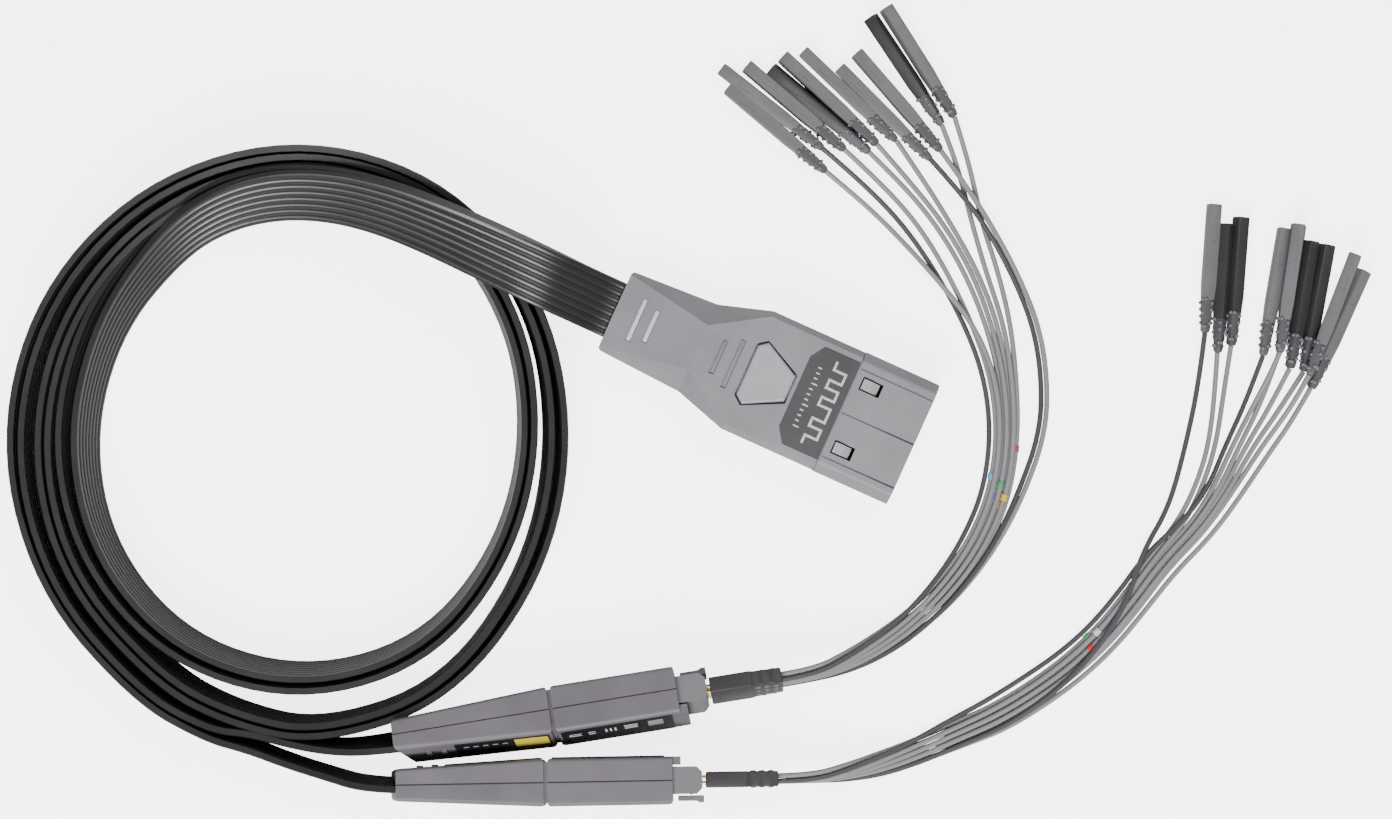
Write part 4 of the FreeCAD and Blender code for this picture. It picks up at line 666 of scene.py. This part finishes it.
# %% Lay the sockets out
SOCKET_TURNS = {
    "a": (139.7, 141.8, 139.6, 139.8, 137.2, 136.3, 134.8, 130.9, 123.7, 122.3),
    "b": (85.8, 86.0, 85.6, 80.4, 81.6, 81.5, 80.6, 79.5, 69.0, 66.0),
}
SOCKET_ROLLS = {
    "a": (4, -8, 6, -20, 9, -5, -7, 5, -28, 14),
    "b": (10, -34, 26, 6, -9, -30, 33, 24, -12, 30),
}
# socket a9 is left off this list as painted shade: the dark finish stands in for the shade on its rolled
# side
GREY_SOCKET = {"a": (1, 2, 3, 5, 6, 7, 8, 10), "b": (1, 4, 5, 6, 9, 10)}
on_lead = {}
for tag, routes in (("a", ROUTES_A), ("b", ROUTES_B)):
    for number, route in enumerate(routes, start=1):
        copy = bpy.data.objects.new(f"socket_{tag}{number}", socket.data.copy())
        bpy.context.collection.objects.link(copy)
        roll = math.radians(SOCKET_ROLLS[tag][number - 1])
        lift = half * (abs(math.cos(roll)) + abs(math.sin(roll))) - half
        place = (Matrix.Translation(Vector(route[-1]) + Vector((0, 0, lift)))
                 @ Matrix.Rotation(math.radians(SOCKET_TURNS[tag][number - 1]), 4, "Z")
                 @ Matrix.Rotation(roll, 4, "X"))
        copy.data.transform(place)
        copy.data.materials[0] = SOCKET_LIGHT if number in GREY_SOCKET[tag] else SOCKET_GREY
        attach(copy, f"plug_{tag}")
        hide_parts(f"sockets_{tag}")
        on_lead[tag, number] = [copy]
bpy.data.objects.remove(socket)
print("sockets laid", len(on_lead))

# %% [markdown]
# ## Marker bands
#
# A few leads carry short coloured sleeves that tell the channels apart. Each is a ring swept round
# the lead's own line, a little fatter than the lead.

# %% Bands
BAND_COLOURS = {
    "blue": (0.12, 0.42, 0.72), "purple": (0.25, 0.10, 0.50), "green": (0.06, 0.38, 0.12),
    "orange": (0.80, 0.25, 0.03), "red": (0.62, 0.04, 0.04), "yellow": (0.75, 0.58, 0.05),
    "white": (0.75, 0.75, 0.76),
}
BAND_PAINTS = {name: moulded(f"band_{name}", colour, 0.4, depth=0.005, drift=0.04)
               for name, colour in BAND_COLOURS.items()}
# which lead, how far along it (share of its length), colour
BANDS = [
    ("a", 3, 0.52, "blue"), ("a", 4, 0.495, "purple"), ("a", 5, 0.51, "green"),
    ("a", 6, 0.48, "orange"), ("a", 10, 0.515, "red"), ("a", 9, 0.46, "yellow"),
    ("b", 2, 0.545, "green"), ("b", 3, 0.56, "white"), ("b", 5, 0.555, "purple"),
    ("b", 6, 0.54, "red"), ("b", 7, 0.535, "blue"),
]
for tag, number, share, colour in BANDS:
    line = lead_lines[tag, number]
    first = int(share * (len(line) - 1))
    stretch = [tuple(spot) for spot in line[first:first + 3]]
    start, end = Vector(stretch[0]), Vector(stretch[-1])
    end = start + (end - start).normalized() * 1.5 * MM
    middle = (start + end) / 2
    deselect()
    turn = (end - start).to_track_quat("Z", "Y").to_euler()
    bpy.ops.mesh.primitive_cylinder_add(vertices=20, radius=LEAD_WIDE / 2 + 0.16 * MM,
                                        depth=1.6 * MM, location=middle, rotation=turn)
    band = bpy.context.object
    band.name = f"band_{colour}_{tag}{number}"
    bpy.ops.object.transform_apply(location=True, rotation=True, scale=True)
    soften(band, 0.08 * MM, 2, 50)
    band.data.materials.append(BAND_PAINTS[colour])
    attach(band, f"plug_{tag}")
    on_lead[tag, number].append(band)
print("bands", len(BANDS))

# %% [markdown]
# ## Softened cases
#
# Real mouldings have no knife edges. The CAD shells do, so each visible case is copied, its loose
# triangles are merged and its flat faces joined, and then chosen edges are bevelled: wide on the
# corners a hand meets, narrow round windows and slots. Choosing edges by their place in the piece's
# own frame keeps the seams and the fits as they were.

# %% Where the head and the pods lie
HEAD_TURN, HEAD_HALF = math.radians(-24.3), 38.9 * MM
HEAD_PLACE = Matrix.Rotation(HEAD_TURN, 4, "Z") @ Matrix.Translation((-HEAD_HALF, 0, 0))
POD_THICK, POD_TAIL, POD_GROOVE_AT = 11.3, 7.4, 37.4   # millimetres


def pod_place(x, y, z, turn, roll):
    """Millimetres and degrees, from a pod's own frame to the table's."""
    return (Matrix.Translation((x * MM, y * MM, z * MM))
            @ Matrix.Rotation(math.radians(turn), 4, "Z")
            @ Matrix.Rotation(math.radians(roll), 4, "X"))


POD_PLACE = {
    "a": pod_place(-87.37, -86.63, 9.6, 9.2, -18),
    "b": pod_place(-89.5, -97.05, 8.84, 1, 173.5),
}


# %% Bevel chosen edges of a copy
def softened(name, place, groups, body):
    """Copy a CAD case, clean it, and bevel the edges each group's test accepts (local millimetres)."""
    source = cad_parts[name]
    made = bpy.data.objects.new(f"{name}_soft", source.data.copy())
    bpy.context.collection.objects.link(made)
    take(made)
    bpy.ops.object.mode_set(mode="EDIT")
    bpy.ops.mesh.select_mode(type="EDGE")
    bpy.ops.mesh.select_all(action="SELECT")
    bpy.ops.mesh.remove_doubles(threshold=0.002 * MM)
    bpy.ops.mesh.dissolve_limited(angle_limit=math.radians(1.5))
    inward = place.inverted()
    for width, segments, test in groups:
        work = bmesh.from_edit_mesh(made.data)
        for item in (*work.faces, *work.edges, *work.verts):
            item.select = False
        count = 0
        for edge in work.edges:
            if len(edge.link_faces) != 2 or not edge.is_convex or edge.calc_face_angle(0) < 0.35:
                continue
            start, end = (inward @ corner.co / MM for corner in edge.verts)
            if test(start, end):
                edge.select = True
                count += 1
        work.select_flush(True)
        bmesh.update_edit_mesh(made.data)
        if count:
            bpy.ops.mesh.bevel(offset=width * MM, segments=segments, affect="EDGES", clamp_overlap=True)
    bpy.ops.object.mode_set(mode="OBJECT")
    bpy.ops.object.shade_smooth_by_angle(angle=math.radians(24))
    flats = made.modifiers.new("flat_faces_stay_flat", "WEIGHTED_NORMAL")
    flats.keep_sharp = True
    flats.weight = 80
    bpy.ops.object.modifier_apply(modifier=flats.name)
    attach(made, body)
    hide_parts(name)
    return made


# %% The head's cases
def upright_corner(start, end):
    """The standing corners of the boot's end."""
    return max(start.x, end.x) < 1 and abs(start.z - end.z) > 1.5 and min(abs(start.y), abs(end.y)) > 8


def long_edge(start, end):
    """Edges of the outer skin, off the parting plane, the front end and the label's seat."""
    outside = all(corner.x < 0.5 or abs(corner.y) > 5.6 for corner in (start, end))
    return (outside and min(start.z, end.z) > 5.9 and max(start.x, end.x) < 58.2
            and (abs(start.x - end.x) > 6 or max(start.x, end.x) < 2.5))


def small_rim(start, end):
    """Rims of the windows and marks in the top face."""
    return min(start.z, end.z) > 9.3 and max(abs(start.y), abs(end.y)) < 9 and max(start.x, end.x) < 47


def base_edge(start, end):
    """Edges of the lower case, behind the connector block."""
    return max(start.z, end.z) < 5.3 and max(start.x, end.x) < 58.2


def block_edge(start, end):
    """Long edges of the connector block, at its sides and its base."""
    outer = min(abs(start.y), abs(end.y)) > 12.5 or max(start.z, end.z) < 1.2
    return outer and abs(start.x - end.x) > 8


def any_edge(start, end):
    """Every edge."""
    return True


softened("head_top_shell", HEAD_PLACE,
         [(1.8, 6, upright_corner), (0.7, 4, long_edge), (0.14, 1, small_rim)], "set")
softened("head_bottom_shell", HEAD_PLACE,
         [(1.8, 6, upright_corner), (0.3, 2, base_edge)], "set")
softened("connector_housing", HEAD_PLACE, [(0.5, 3, block_edge)], "set")
softened("release_button", HEAD_PLACE,
         [(0.6, 2, lambda start, end: min(start.z, end.z) > 13.2)], "button")
print("head cases softened")


# %% The pods' and the plugs' cases
def pod_corner(start, end):
    """The four long corners of a pod and the edges of its cable end."""
    long = min(abs(start.z), abs(end.z)) > 7.6 and min(abs(start.y), abs(end.y)) > 3.2
    return long and (abs(start.x - end.x) > 3 or max(start.x, end.x) < 3)


def pod_end(start, end):
    """The rim of a pod's cable end."""
    return max(start.x, end.x) < 2.4 and max(abs(start.y), abs(end.y)) > 3.4


for tag in ("a", "b"):
    for half_name in ("front", "back"):
        softened(f"pod_{tag}_{half_name}_shell", POD_PLACE[tag],
                 [(0.9, 4, pod_corner), (0.3, 3, pod_end)], "set")
    softened(f"plug_{tag}_housing", POD_PLACE[tag],
             [(0.35, 2, lambda start, end: min(start.x, end.x) > 60)], f"plug_{tag}")
    softened(f"plug_{tag}_latch", POD_PLACE[tag], [(0.2, 2, any_edge)], f"latch_{tag}")
print("pod cases softened")

# %% [markdown]
# ## The head's trim
#
# Pale blue plates in the two slots in the boot are painted reflection: they stand in for light
# that glints in the slots. The two marks beside the button are raised bars in shallow slots, so
# that a dark line shows all round each. The plate carries a plain pulse pattern.

# %% A thin plate in a piece's own frame
def plate(name, low, high, place, finish, body, edge=0.05):
    """A thin rounded plate between two corners of a local frame, in millimetres."""
    made = block(name, Vector(low) * MM, Vector(high) * MM)
    soften(made, edge * MM, 2)
    made.data.transform(place)
    made.data.materials.append(finish)
    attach(made, body)
    return made


# %% Painted reflection in the boot's slots
BOOT_HEIGHT, BOOT_SLOPE = 9.6, 3.4 / 21.7   # the roof rises from the cable end
# these plates are painted reflection: pale blue standing in for light glinting in the slots
for number, (along, reach) in enumerate(((5.7, 5.3), (9.4, 4.0)), start=1):
    roof = BOOT_HEIGHT + BOOT_SLOPE * along
    plate(f"boot_slot_reflection_{number}", (along - 0.5, -reach, roof - 0.42), (along + 0.5, reach, roof - 0.13),
          HEAD_PLACE, PAINTED_REFLECTION_BLUE, "set", 0.12)
print("painted_reflections 2")

# %% Raised bars beside the button
for number, (along, reach) in enumerate(((26.9, 4.3), (30.8, 6.2)), start=1):
    plate(f"grip_bar_{number}", (along - 0.3, -reach + 0.3, 12.5), (along + 0.3, reach - 0.3, 13.12),
          HEAD_PLACE, HEAD_GREY, "set", 0.22)
print("bars 2")

# %% A pulse pattern on the label
# levels of the pulse train: how long each one lasts, and whether it is high
PULSES = [(1.8, 0), (2.4, 1), (2.0, 0), (3.4, 1), (2.0, 0), (2.4, 1), (2.0, 0), (2.6, 1), (1.8, 0)]
LABEL_TOP, STROKE = 12.95, 0.6
HALF_STROKE = STROKE / 2
low_line, high_line = 53.2, 56.3
across = -10.2
marks = []
for index, (lasts, high) in enumerate(PULSES):
    level = high_line if high else low_line
    marks.append(((level - HALF_STROKE, across - HALF_STROKE),
                  (level + HALF_STROKE, across + lasts + HALF_STROKE)))
    across += lasts
    if index < len(PULSES) - 1:
        marks.append(((low_line + HALF_STROKE, across - HALF_STROKE),
                      (high_line - HALF_STROKE, across + HALF_STROKE)))
for tick in range(12):
    long = 1.5 if tick % 4 == 0 else 0.9
    marks.append(((49.6, -7.6 + tick * 1.35), (49.6 + long, -7.25 + tick * 1.35)))
for number, ((near, left), (far, right)) in enumerate(marks, start=1):
    plate(f"label_mark_{number:02d}", (near, left, LABEL_TOP - 0.02), (far, right, LABEL_TOP + 0.03),
          HEAD_PLACE, PRINT_WHITE, "set", 0.02)
print("label marks", len(marks))

# %% [markdown]
# ## Marks on the pods
#
# The label face of each pod carries a yellow patch, a few white bars and grey squares. They are
# plain shapes that say nothing.

# %% Marks on the pods
# along, up, length, height, finish; on the flat front part of the label
POD_MARKS = [
    (41.0, 1.4, 3.0, 0.5, PRINT_WHITE), (41.0, 3.0, 3.0, 0.5, PRINT_WHITE),
    (41.0, 1.4, 0.5, 2.1, PRINT_WHITE), (45.6, 1.2, 1.7, 0.5, PRINT_WHITE),
    (45.6, 3.0, 1.7, 0.5, PRINT_WHITE), (49.6, 1.0, 0.5, 3.0, PRINT_WHITE),
    (50.7, 1.0, 0.5, 3.0, PRINT_WHITE), (51.8, 1.0, 0.5, 3.0, PRINT_WHITE),
    (54.2, 1.2, 3.2, 0.6, PRINT_WHITE), (54.2, 2.6, 3.2, 0.6, PRINT_WHITE),
    (54.2, 4.0, 3.2, 0.6, PRINT_WHITE), (59.9, 0.4, 3.6, 4.8, PRINT_GREY),
]
for tag in ("a", "b"):
    face = -(POD_THICK / 2 + 0.3)
    for number, (along, up, long, high, finish) in enumerate(POD_MARKS, start=1):
        plate(f"pod_{tag}_mark_{number:02d}",
              (along, face - 0.05, up), (along + long, face + 0.02, up + high),
              POD_PLACE[tag], finish, "set", 0.02)
    # the rear part of the label follows the taper of the pod
    slope = Matrix.Rotation(-math.atan((POD_THICK - POD_TAIL) / 2 / POD_GROOVE_AT), 4, "Z")
    rear = POD_PLACE[tag] @ Matrix.Translation((0, -3.7 * MM, 0)) @ slope
    plate(f"pod_{tag}_yellow", (28.2, -0.37, -1.2), (36.2, -0.28, 6.3),
          rear, PRINT_YELLOW, "set", 0.03)
    for number in range(5):
        plate(f"pod_{tag}_rear_mark_{number + 1}", (16.0 + 2.3 * number, -0.35, 3.2),
              (17.3 + 2.3 * number, -0.28, 4.0), rear, PRINT_GREY, "set", 0.02)
print("pod marks", 2 * (len(POD_MARKS) + 6))

# %% [markdown]
# ## Lead boots
#
# Ten leads leave each plug through a flat rubber boot that narrows in steps, with three rows of
# low round studs on each broad face. It starts as a block whose end face is pushed out again and
# again, a little wider or narrower each time.

# %% One boot, in the pod's frame
BOOT_START = 75.6 * MM


def boot_body():
    """The boot without its studs, along X from the plug."""
    made = block("boot", (BOOT_START, -1.9 * MM, -6.5 * MM), (BOOT_START + 9.7 * MM, 1.9 * MM, 6.5 * MM))
    bpy.ops.object.mode_set(mode="EDIT")
    bpy.ops.mesh.select_mode(type="FACE")
    choose(made, lambda spot, way: way.x > 0.9)
    for long, thin, wide in ((0.8, 0.97, 0.92), (1.6, 1.0, 0.97), (0.5, 1.05, 1.03), (0.5, 0.95, 0.96),
                             (1.6, 1.0, 0.98), (0.5, 1.05, 1.03), (0.5, 0.95, 0.96), (1.5, 1.0, 0.98)):
        bpy.ops.mesh.extrude_region_move(TRANSFORM_OT_translate={"value": (long * MM, 0, 0)})
        bpy.ops.transform.resize(value=(1, thin, wide), center_override=(0, 0, 0))
    bpy.ops.object.mode_set(mode="OBJECT")
    return soften(made, 0.35 * MM, 3, 30)


boot = boot_body()
print("boot ends at", round(max(v.co.x for v in boot.data.vertices) / MM, 2), "mm")

# %% Studs: three rows of three on each broad face
posts = []
for face in (-1, 1):
    for row in range(3):
        for lane in (-1, 0, 1):
            deselect()
            spot = Vector((BOOT_START + (11.3 + 2.1 * row) * MM, face * 1.75 * MM,
                           lane * (3.6 - 0.3 * row) * MM))
            bpy.ops.mesh.primitive_uv_sphere_add(segments=12, ring_count=8, radius=0.75 * MM,
                                                 location=spot)
            post = bpy.context.object
            post.scale = (1, 0.5, 1)
            bpy.ops.object.transform_apply(location=True, rotation=True, scale=True)
            bpy.ops.object.shade_smooth()
            post.data.materials.append(RELIEF_BEAD)
            posts.append(post)
boot.data.materials.append(BOOT_BLACK)
take(boot)
for post in posts:
    post.select_set(True)
bpy.ops.object.join()
boot = bpy.context.object
for tag in ("a", "b"):
    copy = bpy.data.objects.new(f"boot_{tag}", boot.data.copy())
    bpy.context.collection.objects.link(copy)
    copy.data.transform(POD_PLACE[tag])
    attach(copy, f"plug_{tag}")
    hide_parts(f"lead_boot_{tag}")
bpy.data.objects.remove(boot)
print("boots 2")

# %% [markdown]
#
# A lead is a free cord: the last lines measure the length of each lead's line.

for (tag, number), piece in lead_pieces.items():
    line = lead_lines[tag, number]
    long = sum((b - a).length for a, b in zip(line, line[1:]))
print("declared", len(lead_pieces), "leads")
